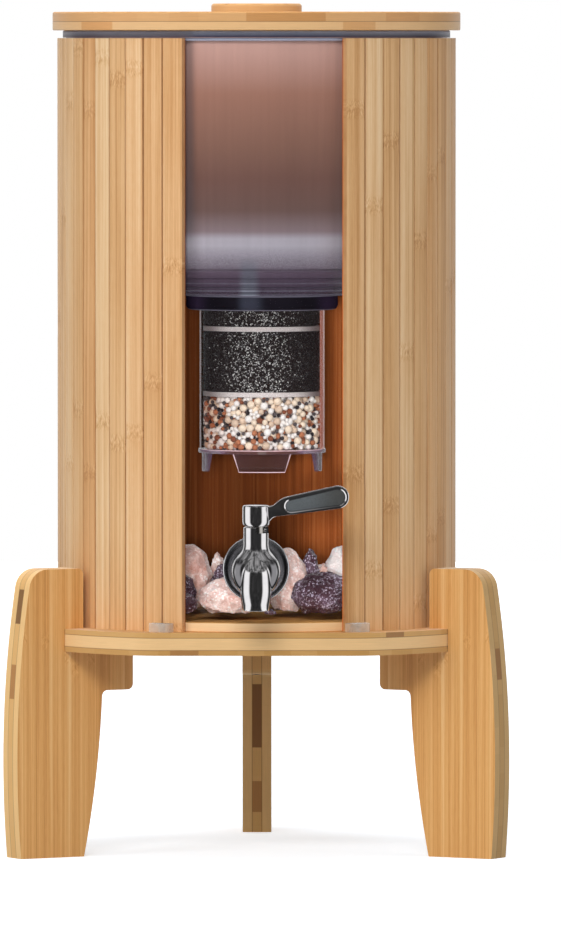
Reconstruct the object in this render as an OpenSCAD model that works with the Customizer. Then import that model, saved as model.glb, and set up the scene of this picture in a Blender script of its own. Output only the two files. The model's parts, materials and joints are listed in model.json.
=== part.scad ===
// Gravity water filter with tap, wrapped in a bamboo slat mat, on a three-legged bamboo stand.
// Millimetres, +Z up. The tank's axis is the Z axis, the floor is z = 0, and the tap points to -Y.
// Angles round the tank are counted from the front, positive towards +X.

/* [Stand] */
// Height of the base plate's underside above the floor
plate_under_h = 149; // [130:1:190]
// Thickness of the three-ply base plate
plate_t = 16.4; // [13:0.2:20]
// How far the round base plate reaches past the slat mat
plate_margin = 21.2; // [19:0.2:26]
// How far the plate's flat front stands in from its round edge
plate_flat_cut = 20; // [12:0.5:20]
// Radius that blends the flat front into the round edge
plate_blend_r = 40; // [25:1:60]

/* [Legs] */
// Thickness of a leg board
leg_t = 21.5; // [16:0.5:26]
// Height of a leg above the base plate's top
leg_head_h = 43.4; // [30:0.2:60]
// Angle of each front leg from the front
leg_angle = 60; // [50:1:70]
// How far the bowed outer edge reaches past the base plate
leg_reach = 39; // [30:1:50]
// Height of the widest point of the outer edge
leg_bow_z = 70; // [50:1:90]
// Radius of the bowed outer edge
leg_bow_r = 800; // [600:10:1200]
// Radius of the bowed inner edge under the shelf
leg_inner_bow_r = 711; // [500:1:1000]
// Depth of the slot that holds the base plate
leg_slot_depth = 15.3; // [12:0.1:17]
// How far the shelf reaches in under the base plate
leg_shelf_reach = 56.5; // [45:0.5:70]
// Height of the shelf under the base plate
leg_shelf_h = 29; // [22:0.5:36]
// How far the inner edge under the shelf stands in from the plate's edge
leg_neck_reach = 31.7; // [26:0.1:36]
// Radius of a leg's top outer corner
leg_crown_r = 15; // [8:0.5:20]
// Radius of a leg's smaller corners
leg_corner_r = 4.4; // [2:0.2:7]

/* [Slat mat] */
// Number of bamboo slats
slat_count = 49; // [40:1:56]
// Thickness of a slat
slat_t = 4.4; // [3:0.1:6]
// Gap between neighbouring slats at their backs
slat_gap = 0.3; // [0.1:0.1:1]
// Radius of a slat's two front edges
slat_edge_r = 1.2; // [0.5:0.1:2]
// Thickness of the woven backing
backing_t = 0.8; // [0.5:0.1:1.5]
// Angle left open for the front window
window_angle = 47.6; // [40:0.2:56]
// Angle by which the window is turned to the right
window_turn = 2.5; // [-3:0.1:3]
// Clearance between the mat and the tank
mat_gap = 0.3; // [0.2:0.1:0.8]

/* [Mat stops] */
// Angle of the left stop
stop_left_angle = 27.4; // [26:0.1:30]
// Angle of the right stop
stop_right_angle = 29.4; // [28:0.1:33]
// Length of a stop along the mat
stop_len = 16.5; // [13:0.5:20]
// Depth of a stop
stop_depth = 8; // [7:0.5:9]
// Height of a stop
stop_h = 6.3; // [5:0.1:8]

/* [Lower tank] */
// Outer radius of the lower tank
tank_r = 139.3; // [125:0.1:150]
// Height of the lower tank
tank_h = 420; // [400:1:470]
// Wall thickness of the lower tank
tank_wall = 3; // [2:0.1:4]
// Floor thickness of the lower tank
tank_floor_t = 4; // [3:0.1:6]
// Thickness of the wooden disc that the tank stands on
base_disc_t = 6.7; // [5:0.1:10]

/* [Upper tank] */
// Depth of the upper tank below its rim
upper_depth = 185.4; // [150:0.2:210]
// Wall thickness of the upper tank
upper_wall = 2.8; // [2:0.1:4]
// Floor thickness of the upper tank
upper_floor_t = 3.2; // [2.4:0.1:5]
// Clearance between the two nested tanks at the rim
nest_gap = 0.8; // [0.5:0.1:1.5]
// How much narrower the upper tank is at its floor than at its rim
upper_draft = 2; // [1:0.1:4]
// How far the rim overhangs the lower tank
rim_over = 2; // [1:0.1:2.6]
// Height of the rim
rim_h = 5.3; // [4:0.1:8]
// Height of each of the three moulded steps round the floor
step_h = 6.4; // [4:0.1:8]
// Depth of each step
step_depth = 1; // [0.5:0.1:1.5]

/* [Lid] */
// How far the lid overhangs the slat mat
lid_over = 3.9; // [2:0.1:8]
// Thickness of the lid board
lid_t = 13.5; // [10:0.5:18]
// Thickness of the locating disc under the lid
locating_t = 6; // [4:0.5:10]
// Clearance between the locating disc and the upper tank
locating_gap = 2; // [1:0.1:4]
// Radius of the knob
knob_r = 33; // [25:0.5:45]
// Height of the knob
knob_h = 6.1; // [5.5:0.1:12]
// How far the knob's screw bites into the knob
knob_bite = 4; // [3:0.1:4.5]

/* [Cartridge] */
// Sideways place of the cartridge in the upper tank's floor
cartridge_x = 4; // [0:0.5:8]
// Outer radius of the clear housing
housing_r = 45.5; // [38:0.5:50]
// Wall thickness of the clear housing
housing_wall = 2.3; // [1.8:0.1:3]
// How far the housing hangs below its cap
housing_drop = 101.5; // [85:0.5:110]
// Radius of the screw cap
cap_r = 55.4; // [54:0.1:60]
// Height of the screw cap
cap_h = 11.3; // [9:0.1:16]
// Thickness of the cap's top
cap_top_t = 3.3; // [2.4:0.1:5]
// Depth of the upper carbon bed below the cap
upper_carbon_drop = 11.8; // [8:0.1:20]
// Depth of the lower carbon bed
lower_carbon_h = 44.3; // [30:0.1:50]
// Thickness of a felt disc
felt_t = 3.4; // [2:0.1:5]
// How far the base flange reaches past the housing
base_flange_over = 0.9; // [0.5:0.1:2]
// Thickness of the base grille
grille_t = 2.9; // [2:0.1:4]
// Height of the feet under the grille
foot_h = 13.3; // [8:0.1:18]
// Thickness of a gasket
gasket_t = 1.5; // [1:0.1:2.5]
// Radius of the threaded stem
stem_r = 12; // [9:0.5:15]
// Height of the cartridge nut
stem_nut_h = 10; // [8:0.5:14]

/* [Tap] */
// Height of the tap's shank above the base plate's top
tap_over_plate = 45.9; // [42:0.1:60]
// Distance of the tap's upright axis from the tank
tap_out = 48.3; // [42:0.1:55]
// Radius of the bulb
bulb_r = 17.4; // [15:0.1:19]
// Radius of the upright stem
tap_stem_r = 8.9; // [8:0.1:10]
// Height of the stem above the shank
tap_stem_h = 32.4; // [28:0.1:38]
// Length of the spout below the shank
spout_len = 27.5; // [24:0.1:34]
// Outer radius of the spout's mouth
spout_r = 9; // [8.2:0.1:10]
// Bore radius of the spout's mouth
spout_bore_r = 6.5; // [5:0.1:7]
// Radius of the rosette
rosette_r = 23.9; // [20:0.1:27]
// Thickness of the rosette
rosette_t = 3.2; // [2:0.1:4]
// Radius of the threaded shank through the tank
shank_r = 9; // [8:0.1:10]

/* [Tap lever] */
// Radius of the hub
hub_r = 9.6; // [9:0.1:11]
// Height of the hub
hub_h = 15; // [12:0.1:20]
// Distance of the lever's tip from the tap's axis
lever_reach = 66.4; // [55:0.1:80]
// Thickness of the lever's paddle
lever_t = 5; // [4:0.1:6]
// How far the paddle rises from its root to its tip
lever_rise = 6.4; // [0:0.1:12]
// Radius of the paddle's tip
lever_tip_r = 8.2; // [6:0.1:9]
// Radius of the paddle's root
lever_root_r = 5.8; // [4.5:0.1:6.5]
// Turn of the lever from closed to open
lever_swing = 90; // [80:1:90]

/* [Hidden] */
$fn = 96;
over = 1;              // how far a cutting body runs past what it cuts
running_gap = 0.05;    // radial clearance of a shaft that turns
fixed_gap = 0.1;       // radial clearance round a screw or a pin that stays put
loose_gap = 0.3;       // clearance between bodies that pass each other

// Heights, from the floor up
plate_top = plate_under_h + plate_t;
tank_z = plate_top + base_disc_t;
tank_top = tank_z + tank_h;
rim_top = tank_top + rim_h;
lid_top = rim_top + lid_t;
upper_z = tank_top - upper_depth;
cap_top = upper_z - gasket_t;
cap_z = cap_top - cap_h;
housing_top = cap_top - cap_top_t;
housing_z = cap_z - housing_drop;
mat_h = tank_top - plate_top - loose_gap;

// Radii, from the tank out
tank_bore_r = tank_r - tank_wall;
backing_r = tank_r + mat_gap;
slat_back_r = backing_r + backing_t;
mat_r = slat_back_r + slat_t;
plate_r = mat_r + plate_margin;
plate_flat_y = plate_r - plate_flat_cut;
upper_r = tank_bore_r - nest_gap;
upper_bore_r = upper_r - upper_wall;
slat_pitch = (360 - window_angle) / slat_count;
mat_start = window_turn + window_angle / 2;

// Points of an arc about c
function arc(c, r, from, to, n = 8) =
    [for (i = [0:n]) let (a = from + (to - from) * i / n) c + r * [cos(a), sin(a)]];

// Point at radius r and angle a from the front
function polar(r, a) = [r * sin(a), -r * cos(a)];

// Turns a shape drawn at the front to angle a
module at_angle(a) { rotate([0, 0, a]) children(); }

// Countersunk screw that points up, its head's underside at z = 0
module countersunk_screw(r, head_r, length, gap = 0) {
    rotate_extrude()
        polygon([[0, 0], [head_r + gap, 0], [r + gap, head_r - r], [r + gap, length - r],
                 [gap + r / 3, length + gap], [0, length + gap]]);
}

// Solid of revolution with its top and bottom outer edges rounded
module rounded_disc(r, h, top_r, bottom_r) {
    rotate_extrude()
        polygon(concat([[0, 0]], arc([r - bottom_r, bottom_r], bottom_r, -90, 0, 5),
                       arc([r - top_r, h - top_r], top_r, 0, 90, 5), [[0, h]]));
}

// ---- Stand ----

leg_top = plate_top + leg_head_h;
leg_head_r = plate_r - leg_slot_depth;
leg_shelf_z = plate_under_h - leg_shelf_h;
leg_screw_r = 2;
leg_screw_head_r = 4;
leg_screw_bite = 10.6;  // how far a screw reaches into the plate
leg_screw_inset = 6.5;  // from either end of the shelf
leg_screw_len = leg_shelf_h + leg_screw_bite;
leg_screw_spots = [plate_r - leg_shelf_reach + leg_screw_inset, plate_r - leg_neck_reach - leg_screw_inset];
leg_angles = [-leg_angle, leg_angle, 180];

// Outline of a leg: x is the distance from the tank's axis, y the height
function leg_outline() =
    let (bow = [plate_r + leg_reach - leg_bow_r, leg_bow_z],
         crown_y = leg_top - leg_crown_r,
         crown_x = bow.x + sqrt(pow(leg_bow_r - leg_crown_r, 2) - pow(crown_y - bow.y, 2)),
         crown_a = atan2(crown_y - bow.y, crown_x - bow.x),
         inner = [plate_r - leg_neck_reach + leg_inner_bow_r, plate_under_h],
         fillet_y = leg_shelf_z - leg_corner_r,
         fillet_x = inner.x - sqrt(pow(leg_inner_bow_r + leg_corner_r, 2) - pow(inner.y - fillet_y, 2)),
         fillet_a = atan2(inner.y - fillet_y, inner.x - fillet_x),
         shelf_x = plate_r - leg_shelf_reach)
    concat(arc(bow, leg_bow_r, -asin(bow.y / leg_bow_r), crown_a, 24),
           arc([crown_x, crown_y], leg_crown_r, crown_a, 90),
           arc([leg_head_r + leg_corner_r, leg_top - leg_corner_r], leg_corner_r, 90, 180),
           [[leg_head_r, plate_top], [plate_r, plate_top],
            [plate_r, plate_under_h], [shelf_x, plate_under_h]],
           arc([shelf_x + leg_corner_r, leg_shelf_z + leg_corner_r], leg_corner_r, 180, 270),
           arc([fillet_x, fillet_y], leg_corner_r, 90, fillet_a),
           arc(inner, leg_inner_bow_r, fillet_a + 180, 180 + asin(inner.y / leg_inner_bow_r), 16));

// The screws of one leg, grown by gap to cut their holes
module leg_screw_set(gap = 0) {
    for (r = leg_screw_spots)
        translate([0, -r, leg_shelf_z])
            countersunk_screw(leg_screw_r, leg_screw_head_r, leg_screw_len, gap);
}

module leg(a) {
    color("burlywood")
        at_angle(a) difference() {
            rotate([90, 0, -90])
                linear_extrude(leg_t, center = true) polygon(leg_outline());
            leg_screw_set(fixed_gap);
        }
}

module leg_left() { leg(leg_angles[0]); }

module leg_right() { leg(leg_angles[1]); }

module leg_rear() { leg(leg_angles[2]); }

module leg_screws() {
    color("silver")
        for (a = leg_angles) at_angle(a) leg_screw_set();
}

// Round plate with a flat front that blends into the round edge
module plate_outline() {
    blend_y = plate_flat_y - plate_blend_r;
    blend_x = sqrt(pow(plate_r - plate_blend_r, 2) - pow(blend_y, 2));
    edge_a = -atan2(blend_y, blend_x);
    polygon(concat(arc([blend_x, -blend_y], plate_blend_r, -90, edge_a, 12),
                   arc([0, 0], plate_r, edge_a, 180 - edge_a, 90),
                   arc([-blend_x, -blend_y], plate_blend_r, 180 - edge_a, 270, 12)));
}

module base_plate() {
    color("wheat")
        difference() {
            translate([0, 0, plate_under_h]) linear_extrude(plate_t) plate_outline();
            for (a = leg_angles) at_angle(a) leg_screw_set(fixed_gap);
            stop_screw_set(fixed_gap);
        }
}

// ---- Slat mat and its stops ----

// Loose disc that the tank stands on, inside the mat
module tank_base_disc() {
    color("tan")
        translate([0, 0, plate_top]) rounded_disc(tank_r, base_disc_t, 0.8, 0.8);
}

// Woven backing, one flat facet behind each slat
module mat_backing() {
    turns = [for (k = [0:slat_count]) mat_start + k * slat_pitch];
    back = [for (k = [slat_count:-1:0]) turns[k]];
    corner = 1 / cos(slat_pitch / 2);
    color("saddlebrown")
        translate([0, 0, plate_top])
            linear_extrude(mat_h)
                polygon(concat([for (a = turns) polar(slat_back_r * corner, a)],
                               [for (a = back) polar(backing_r * corner, a)]));
}

// Section of one slat at the front, its flat back on the backing
module slat_section() {
    half = slat_back_r * tan(slat_pitch / 2) - slat_gap / 2;
    inset = half - slat_edge_r;
    crest = -mat_r + slat_edge_r;
    polygon(concat([[half, -slat_back_r], [-half, -slat_back_r]],
                   arc([-inset, crest], slat_edge_r, 180, 270, 3),
                   arc([inset, crest], slat_edge_r, 270, 360, 3)));
}

module bamboo_slats() {
    color("burlywood")
        translate([0, 0, plate_top])
            for (k = [0:slat_count - 1])
                at_angle(mat_start + (k + 0.5) * slat_pitch)
                    linear_extrude(mat_h) slat_section();
}

stop_corner_r = 2;
stop_screw_r = 1.5;
stop_head_r = 2.8;
stop_head_h = 2;
stop_screw_bite = 9;
stop_y = mat_r + loose_gap + stop_depth / 2;

// Pan-head screw down through a stop, grown by gap to cut its hole
module stop_screw(gap = 0) {
    translate([0, -stop_y, plate_top]) {
        translate([0, 0, -stop_screw_bite])
            cylinder(r = stop_screw_r + gap, h = stop_screw_bite + stop_h - stop_head_h);
        translate([0, 0, stop_h - stop_head_h])
            cylinder(r = stop_head_r + gap, h = stop_head_h);
    }
}

module stop_screw_set(gap = 0) {
    for (a = [-stop_left_angle, stop_right_angle]) at_angle(a) stop_screw(gap);
}

// Clear block that keeps one end of the mat in place
module mat_stop(a) {
    half = stop_len / 2 - stop_corner_r;
    front = -stop_y - stop_depth / 2 + stop_corner_r;
    back = -stop_y + stop_depth / 2;
    color("whitesmoke", 0.7)
        at_angle(a) difference() {
            translate([0, 0, plate_top])
                linear_extrude(stop_h)
                    polygon(concat([[stop_len / 2, back], [-stop_len / 2, back]],
                                   arc([-half, front], stop_corner_r, 180, 270, 5),
                                   arc([half, front], stop_corner_r, 270, 360, 5)));
            stop_screw(fixed_gap);
        }
}

module mat_stop_left() { mat_stop(-stop_left_angle); }

module mat_stop_right() { mat_stop(stop_right_angle); }

module mat_stop_screws() {
    color("silver") stop_screw_set();
}

// ---- Tanks ----

tank_corner_r = 6;
tap_z = plate_top + tap_over_plate;

module lower_tank() {
    floor_z = tank_floor_t;
    inner_r = tank_corner_r - tank_wall;
    color("lightcyan", 0.3)
        difference() {
            translate([0, 0, tank_z])
                rotate_extrude($fn = 180)
                    polygon(concat([[0, 0]],
                                   arc([tank_r - tank_corner_r, tank_corner_r], tank_corner_r, -90, 0, 6),
                                   [[tank_r, tank_h], [tank_bore_r, tank_h]],
                                   arc([tank_bore_r - inner_r, floor_z + inner_r], inner_r, 0, -90, 4),
                                   [[0, floor_z]]));
            shank_cutter(-tank_r - over, tank_wall * 2 + over);
        }
}

// Hole for the tap's shank, from y along +Y
module shank_cutter(y, length) {
    translate([0, y, tap_z])
        rotate([-90, 0, 0]) cylinder(r = shank_r + fixed_gap, h = length);
}

rim_edge_r = 1.2;
stem_hole_r = stem_r + loose_gap;

// Nested tank: a drafted wall, a rim that rests on the lower tank, and a stepped floor
module upper_tank() {
    rim_r = tank_r + rim_over;
    foot_r = upper_r - upper_draft;
    steps = 3;
    step_points = [for (i = [0:steps - 1], up = [0, 1])
                   [foot_r - (steps - i) * step_depth, (i + up) * step_h]];
    wall_z = steps * step_h;
    inner_foot_r = foot_r - steps * step_depth - upper_wall;
    color("thistle", 0.55)
        difference() {
            translate([0, 0, upper_z])
                rotate_extrude($fn = 180)
                    polygon(concat([[0, 0]], step_points,
                                   [[foot_r, wall_z], [upper_r, upper_depth], [rim_r, upper_depth]],
                                   arc([rim_r - rim_edge_r, upper_depth + rim_h - rim_edge_r],
                                       rim_edge_r, 0, 90, 4),
                                   [[upper_bore_r, upper_depth + rim_h],
                                    [foot_r - upper_wall, wall_z],
                                    [inner_foot_r, wall_z - upper_wall],
                                    [inner_foot_r, upper_floor_t], [0, upper_floor_t]]));
            translate([cartridge_x, 0, upper_z - over])
                cylinder(r = stem_hole_r, h = upper_floor_t + 2 * over);
        }
}

// ---- Lid ----

lid_r = mat_r + lid_over;
knob_screw_r = 2.5;
knob_screw_head_r = 5;

module knob_screw(gap = 0) {
    translate([0, 0, rim_top - locating_t])
        countersunk_screw(knob_screw_r, knob_screw_head_r, locating_t + lid_t + knob_bite, gap);
}

module lid_board() {
    color("burlywood")
        difference() {
            translate([0, 0, rim_top]) rounded_disc(lid_r, lid_t, 1.5, 1);
            knob_screw(fixed_gap);
        }
}

module lid_locating_disc() {
    color("tan")
        difference() {
            translate([0, 0, rim_top - locating_t])
                rounded_disc(upper_bore_r - locating_gap, locating_t, 0.5, 1);
            knob_screw(fixed_gap);
        }
}

module lid_knob() {
    color("peru")
        difference() {
            translate([0, 0, lid_top]) rounded_disc(knob_r, knob_h, 2.2, 0.6);
            knob_screw(fixed_gap);
        }
}

module lid_knob_screw() {
    color("silver") knob_screw();
}

// ---- Filter cartridge ----

housing_bore_r = housing_r - housing_wall;
upper_felt_z = cap_z - upper_carbon_drop - felt_t;
lower_felt_z = upper_felt_z - lower_carbon_h - felt_t;
stem_wall = 4.5;
stem_bore_r = stem_r - stem_wall;
stem_over_nut = 4;
stem_top = upper_z + upper_floor_t + gasket_t + stem_nut_h + stem_over_nut;
cap_edge_r = 3.6;
gasket_inset = 11;
gasket_r = cap_r - gasket_inset;
nut_wall = 9;
nut_grip_r = stem_r + nut_wall;
nut_washer_over = 3;
nut_washer_r = nut_grip_r + nut_washer_over;

module at_cartridge(z) { translate([cartridge_x, 0, z]) children(); }

// A layer that fills the housing's bore
module cartridge_fill(z, h) { at_cartridge(z) cylinder(r = housing_bore_r - fixed_gap, h = h); }

// Screw cap with the hollow threaded stem that hangs the cartridge from the tank's floor
module cartridge_cap() {
    socket_h = cap_h - cap_top_t;
    ring_r = housing_r + fixed_gap;
    color("indigo")
        at_cartridge(cap_z)
            rotate_extrude()
                polygon(concat([[ring_r, 0]], arc([cap_r - cap_edge_r, cap_edge_r], cap_edge_r, -90, 0, 5),
                               [[cap_r, cap_h - 1], [cap_r - 1, cap_h], [stem_r, cap_h],
                                [stem_r, stem_top - cap_z - 1], [stem_r - 1, stem_top - cap_z],
                                [stem_bore_r, stem_top - cap_z], [stem_bore_r, socket_h],
                                [ring_r, socket_h]]));
}

// Flat ring round the stem
module stem_ring(z, outer_r) {
    at_cartridge(z)
        difference() {
            cylinder(r = outer_r, h = gasket_t);
            translate([0, 0, -over]) cylinder(r = stem_hole_r, h = gasket_t + 2 * over);
        }
}

module cartridge_gasket() {
    color("gainsboro") stem_ring(cap_top, gasket_r);
}

module cartridge_nut_washer() {
    color("gainsboro") stem_ring(upper_z + upper_floor_t, nut_washer_r);
}

// Hand nut with six grip lobes
module cartridge_nut() {
    lobe_r = 5;
    color("indigo")
        at_cartridge(upper_z + upper_floor_t + gasket_t)
            difference() {
                union() {
                    cylinder(r = nut_grip_r, h = stem_nut_h);
                    for (a = [0:60:300])
                        rotate([0, 0, a]) translate([nut_grip_r, 0, 0]) cylinder(r = lobe_r, h = stem_nut_h, $fn = 32);
                }
                translate([0, 0, -over]) cylinder(r = stem_r + running_gap, h = stem_nut_h + 2 * over);
            }
}

module cartridge_housing() {
    color("aliceblue", 0.3)
        at_cartridge(housing_z)
            difference() {
                cylinder(r = housing_r, h = housing_top - housing_z);
                translate([0, 0, -over]) cylinder(r = housing_bore_r, h = housing_top - housing_z + 2 * over);
            }
}

module upper_carbon_bed() {
    color("black") cartridge_fill(upper_felt_z + felt_t, housing_top - upper_felt_z - felt_t);
}

module upper_felt_disc() {
    color("white") cartridge_fill(upper_felt_z, felt_t);
}

module lower_carbon_bed() {
    color("black") cartridge_fill(lower_felt_z + felt_t, lower_carbon_h);
}

module lower_felt_disc() {
    color("white") cartridge_fill(lower_felt_z, felt_t);
}

module ceramic_ball_bed() {
    color("linen") cartridge_fill(housing_z, lower_felt_z - housing_z);
}

// Slotted base with four tapered feet
module cartridge_base() {
    base_r = housing_r + base_flange_over;
    ring_r = housing_bore_r + 0.6;
    foot_wall = 2;
    foot_root = 29;
    foot_tip = 22.5;
    slots = 8;
    slot = [20, 3];        // length and width of a slot
    slot_start = 12;
    color("aliceblue", 0.5)
        at_cartridge(housing_z - grille_t) {
            difference() {
                rounded_disc(base_r, grille_t, 0.4, 0.8);
                for (i = [0:slots - 1])
                    rotate([0, 0, (i + 0.5) * 360 / slots])
                        translate([slot_start, -slot.y / 2, -over]) cube([slot.x, slot.y, grille_t + 2 * over]);
            }
            intersection() {
                translate([0, 0, -foot_h])
                    difference() {
                        cylinder(r = ring_r, h = foot_h);
                        translate([0, 0, -over])
                            cylinder(r = ring_r - foot_wall, h = foot_h + 2 * over);
                    }
                union()
                    for (a = [0, 90])
                        rotate([90, 0, a])
                            linear_extrude(3 * ring_r, center = true)
                                polygon([[-ring_r * sin(foot_root), 0], [-ring_r * sin(foot_tip), -foot_h],
                                         [ring_r * sin(foot_tip), -foot_h], [ring_r * sin(foot_root), 0]]);
            }
        }
}

// ---- Tap ----

tap_y = -tank_r - tap_out;
washer_t = 3;
rosette_z = tank_r + washer_t;
bulb_half_h = 17.5;
shoulder_curve = 0.55;  // below 1 the bulb is fuller than a cosine wave, above the shank
waist_curve = 0.75;     // and below it
spout_top_r = spout_r + 2.2;
plug_r = 6;
plug_floor = -6;        // height of the seat under the plug, from the shank's axis
plug_seat_t = 3;
plug_gap_h = 0.3;
plug_neck_r = 3.5;
plug_neck_h = hub_h * 0.7;
shank_bore_r = 4.5;
seat_bore_r = 5.2;
spout_bore_len = spout_len + plug_floor - plug_seat_t;
seam_turn = 37;        // keeps the seams of crossing cylinders apart
pin_r = 1.5;
pin_margin = asin((pin_r + fixed_gap) / plug_r);
slot_from = -89.5;      // from +X, so the window starts at the front
slot_turn = lever_swing + 2 * pin_margin;
pin_angle = slot_from + lever_swing + pin_margin;
pin_z = tap_stem_h - 2.6;
nut_t = 8;
nut_flats = 30;
inner_washer_t = 3;
shank_end = tank_bore_r - inner_washer_t - nut_t - 3;
shank_past = -tap_y - 3; // the shank ends inside the bulb

module at_tap() { translate([0, tap_y, tap_z]) children(); }

// Outer radius of the tap's body at height z above its shank: a swelling on a stem and a tapered spout
function tap_radius(z) =
    let (root_r = z > 0 ? tap_stem_r : spout_top_r,
         wave = abs(z) < bulb_half_h ? (1 + cos(180 * z / bulb_half_h)) / 2 : 0,
         swell = pow(wave, z > 0 ? shoulder_curve : waist_curve),
         taper = z < -bulb_half_h ? (spout_top_r - spout_r) * (-z - bulb_half_h) / (spout_len - bulb_half_h) : 0)
    root_r + (bulb_r - root_r) * swell - taper;

module tap_body() {
    steps = 12;
    side = [for (i = [-steps:steps]) let (z = i * bulb_half_h / steps) [tap_radius(z), z]];
    color("silver")
        difference() {
            union() {
                at_tap()
                    rotate_extrude()
                        polygon(concat([[0, -spout_len], [spout_r - 0.5, -spout_len], [spout_r, -spout_len + 0.5]],
                                       side, [[tap_stem_r, tap_stem_h], [0, tap_stem_h]]));
                along_shank(shank_end) cylinder(r = shank_r, h = shank_past - shank_end);
                along_shank(rosette_z + rosette_t)
                    cylinder(r1 = shank_r + 3, r2 = shank_r + 1, h = shank_past - rosette_z - rosette_t);
            }
            at_tap() {
                translate([0, 0, plug_floor])
                    cylinder(r = plug_r + running_gap, h = tap_stem_h - plug_floor + over);
                translate([0, 0, -spout_len - over]) cylinder(r = spout_bore_r, h = spout_bore_len + over);
                translate([0, 0, plug_floor - plug_seat_t - over])
                    cylinder(r = seat_bore_r, h = plug_seat_t + 2 * over);
                stop_slot();
            }
            along_shank(shank_end - over) cylinder(r = shank_bore_r, h = -tap_y - shank_end + 3 * over);
        }
}

// Turns a cylinder to run out from the tank's axis, starting at radius from
module along_shank(from) {
    translate([0, -from, tap_z]) rotate([90, seam_turn, 0]) children();
}

// Quarter-turn window in the stem's wall, in which the stop pin travels
module stop_slot() {
    translate([0, 0, pin_z - pin_r - loose_gap])
        rotate([0, 0, slot_from])
            rotate_extrude(angle = slot_turn)
                translate([plug_r - over, 0])
                    square([tap_stem_r - plug_r + 2 * over, tap_stem_h - pin_z + pin_r + loose_gap + over]);
}

// Dished rosette with a raised rim
module tap_rosette() {
    color("silver")
        translate([0, -rosette_z, tap_z])
            rotate([90, 0, 0])
                rotate_extrude()
                    polygon(concat([[shank_r + fixed_gap, 0], [rosette_r - 0.5, 0], [rosette_r, 0.5]],
                                   arc([rosette_r - 1, rosette_t - 1], 1, 0, 90, 4),
                                   [[rosette_r - 1.8, rosette_t], [rosette_r - 2.6, rosette_t - 1.4],
                                    [shank_r + 5, rosette_t - 1.4], [shank_r + 4, rosette_t],
                                    [shank_r + fixed_gap, rosette_t]]));
}

// Washer between the tank's round wall and the flat rosette
module tap_outer_washer() {
    color("whitesmoke")
        difference() {
            translate([0, -rosette_z, tap_z])
                rotate([-90, 0, 0]) cylinder(r = rosette_r - 5, h = washer_t + 4);
            shank_cutter(-rosette_z - over, washer_t + 8);
            translate([0, 0, tap_z - rosette_r]) cylinder(r = tank_r, h = 2 * rosette_r, $fn = 180);
        }
}

// Washer between the tank's round wall and the flat nut
module tap_inner_washer() {
    color("whitesmoke")
        difference() {
            intersection() {
                translate([0, -tank_bore_r - over, tap_z])
                    rotate([-90, 0, 0]) cylinder(r = 16, h = inner_washer_t + over);
                translate([0, 0, tap_z - rosette_r]) cylinder(r = tank_bore_r, h = 2 * rosette_r, $fn = 180);
            }
            shank_cutter(-tank_r, tank_wall + inner_washer_t + 2 * over);
        }
}

module tap_nut() {
    color("silver")
        translate([0, -tank_bore_r + inner_washer_t, tap_z])
            rotate([-90, 0, 0])
                difference() {
                    cylinder(r = nut_flats / 2 / cos(30), h = nut_t, $fn = 6);
                    translate([0, 0, -over]) cylinder(r = shank_r + fixed_gap, h = nut_t + 2 * over);
                }
}

plug_seal_z = [18, 24];
plug_seal_r = 0.9;

// Valve plug: water comes up to its side port and leaves through its open foot.
// The port faces the left when closed and the shank when the lever is turned to the front.
module tap_plug() {
    foot_port_r = 3.5;
    side_port_r = 3;
    foot_z = plug_floor + plug_gap_h;
    color("gold")
        at_tap()
            difference() {
                union() {
                    translate([0, 0, foot_z]) cylinder(r = plug_r, h = tap_stem_h - foot_z);
                    translate([0, 0, tap_stem_h]) cylinder(r = plug_neck_r, h = plug_neck_h);
                }
                for (z = plug_seal_z) translate([0, 0, z]) plug_groove();
                translate([0, 0, foot_z - over])
                    cylinder(r = foot_port_r, h = side_port_r + 2 * over - foot_z);
                rotate([0, 0, 180])
                    rotate([0, 90, 0]) rotate([0, 0, seam_turn])
                        translate([0, 0, -over]) cylinder(r = side_port_r, h = plug_r + 2 * over);
                translate([0, 0, pin_z])
                    rotate([0, 90, pin_angle]) cylinder(r = pin_r + fixed_gap, h = plug_r + over);
            }
}

// Square groove that holds a seal
module plug_groove() {
    half_h = plug_seal_r + fixed_gap;
    rotate_extrude()
        translate([plug_r - 2 * plug_seal_r - fixed_gap, -half_h])
            square([2 * plug_seal_r + fixed_gap + over, 2 * half_h]);
}

// Ring of round section in the plug's groove
module plug_seal() {
    rotate_extrude() translate([plug_r - plug_seal_r, 0]) circle(r = plug_seal_r, $fn = 24);
}

module tap_plug_seals() {
    color("black")
        at_tap()
            for (z = plug_seal_z) translate([0, 0, z]) plug_seal();
}

module tap_stop_pin() {
    color("silver")
        at_tap()
            translate([0, 0, pin_z])
                rotate([0, 90, pin_angle])
                    translate([0, 0, 1]) cylinder(r = pin_r, h = tap_stem_r - 1.3);
}

hub_z = tap_stem_h + plug_gap_h;
lever_z = hub_z + hub_h * 0.6;
lever_root_x = hub_r + 12;
lever_tip_x = lever_reach - lever_tip_r;
paddle_z = lever_z + 5.5;
arm_r = 4.6;
arm_elbow = [hub_r + 4, lever_z + 2.4];
arm_root_h = 10.4;
insert_depth = 1.2;
insert_t = 1.6;
insert_rim = 1.5;

// Paddle outline in the lever's plane, its edge moved in by inset
module paddle_outline(inset = 0) {
    hull() {
        translate([lever_root_x, paddle_z]) circle(r = lever_root_r - inset, $fn = 32);
        translate([lever_tip_x, paddle_z + lever_rise]) circle(r = lever_tip_r - inset, $fn = 32);
    }
}

// Arm that rises from the hub to the paddle
module arm_outline() {
    hull() {
        translate([hub_r - 5, lever_z - arm_root_h / 2]) square([1, arm_root_h]);
        translate(arm_elbow) circle(r = arm_r, $fn = 32);
    }
    hull() {
        translate(arm_elbow) circle(r = arm_r, $fn = 32);
        translate([lever_root_x, paddle_z]) circle(r = lever_root_r, $fn = 32);
    }
}

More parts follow.
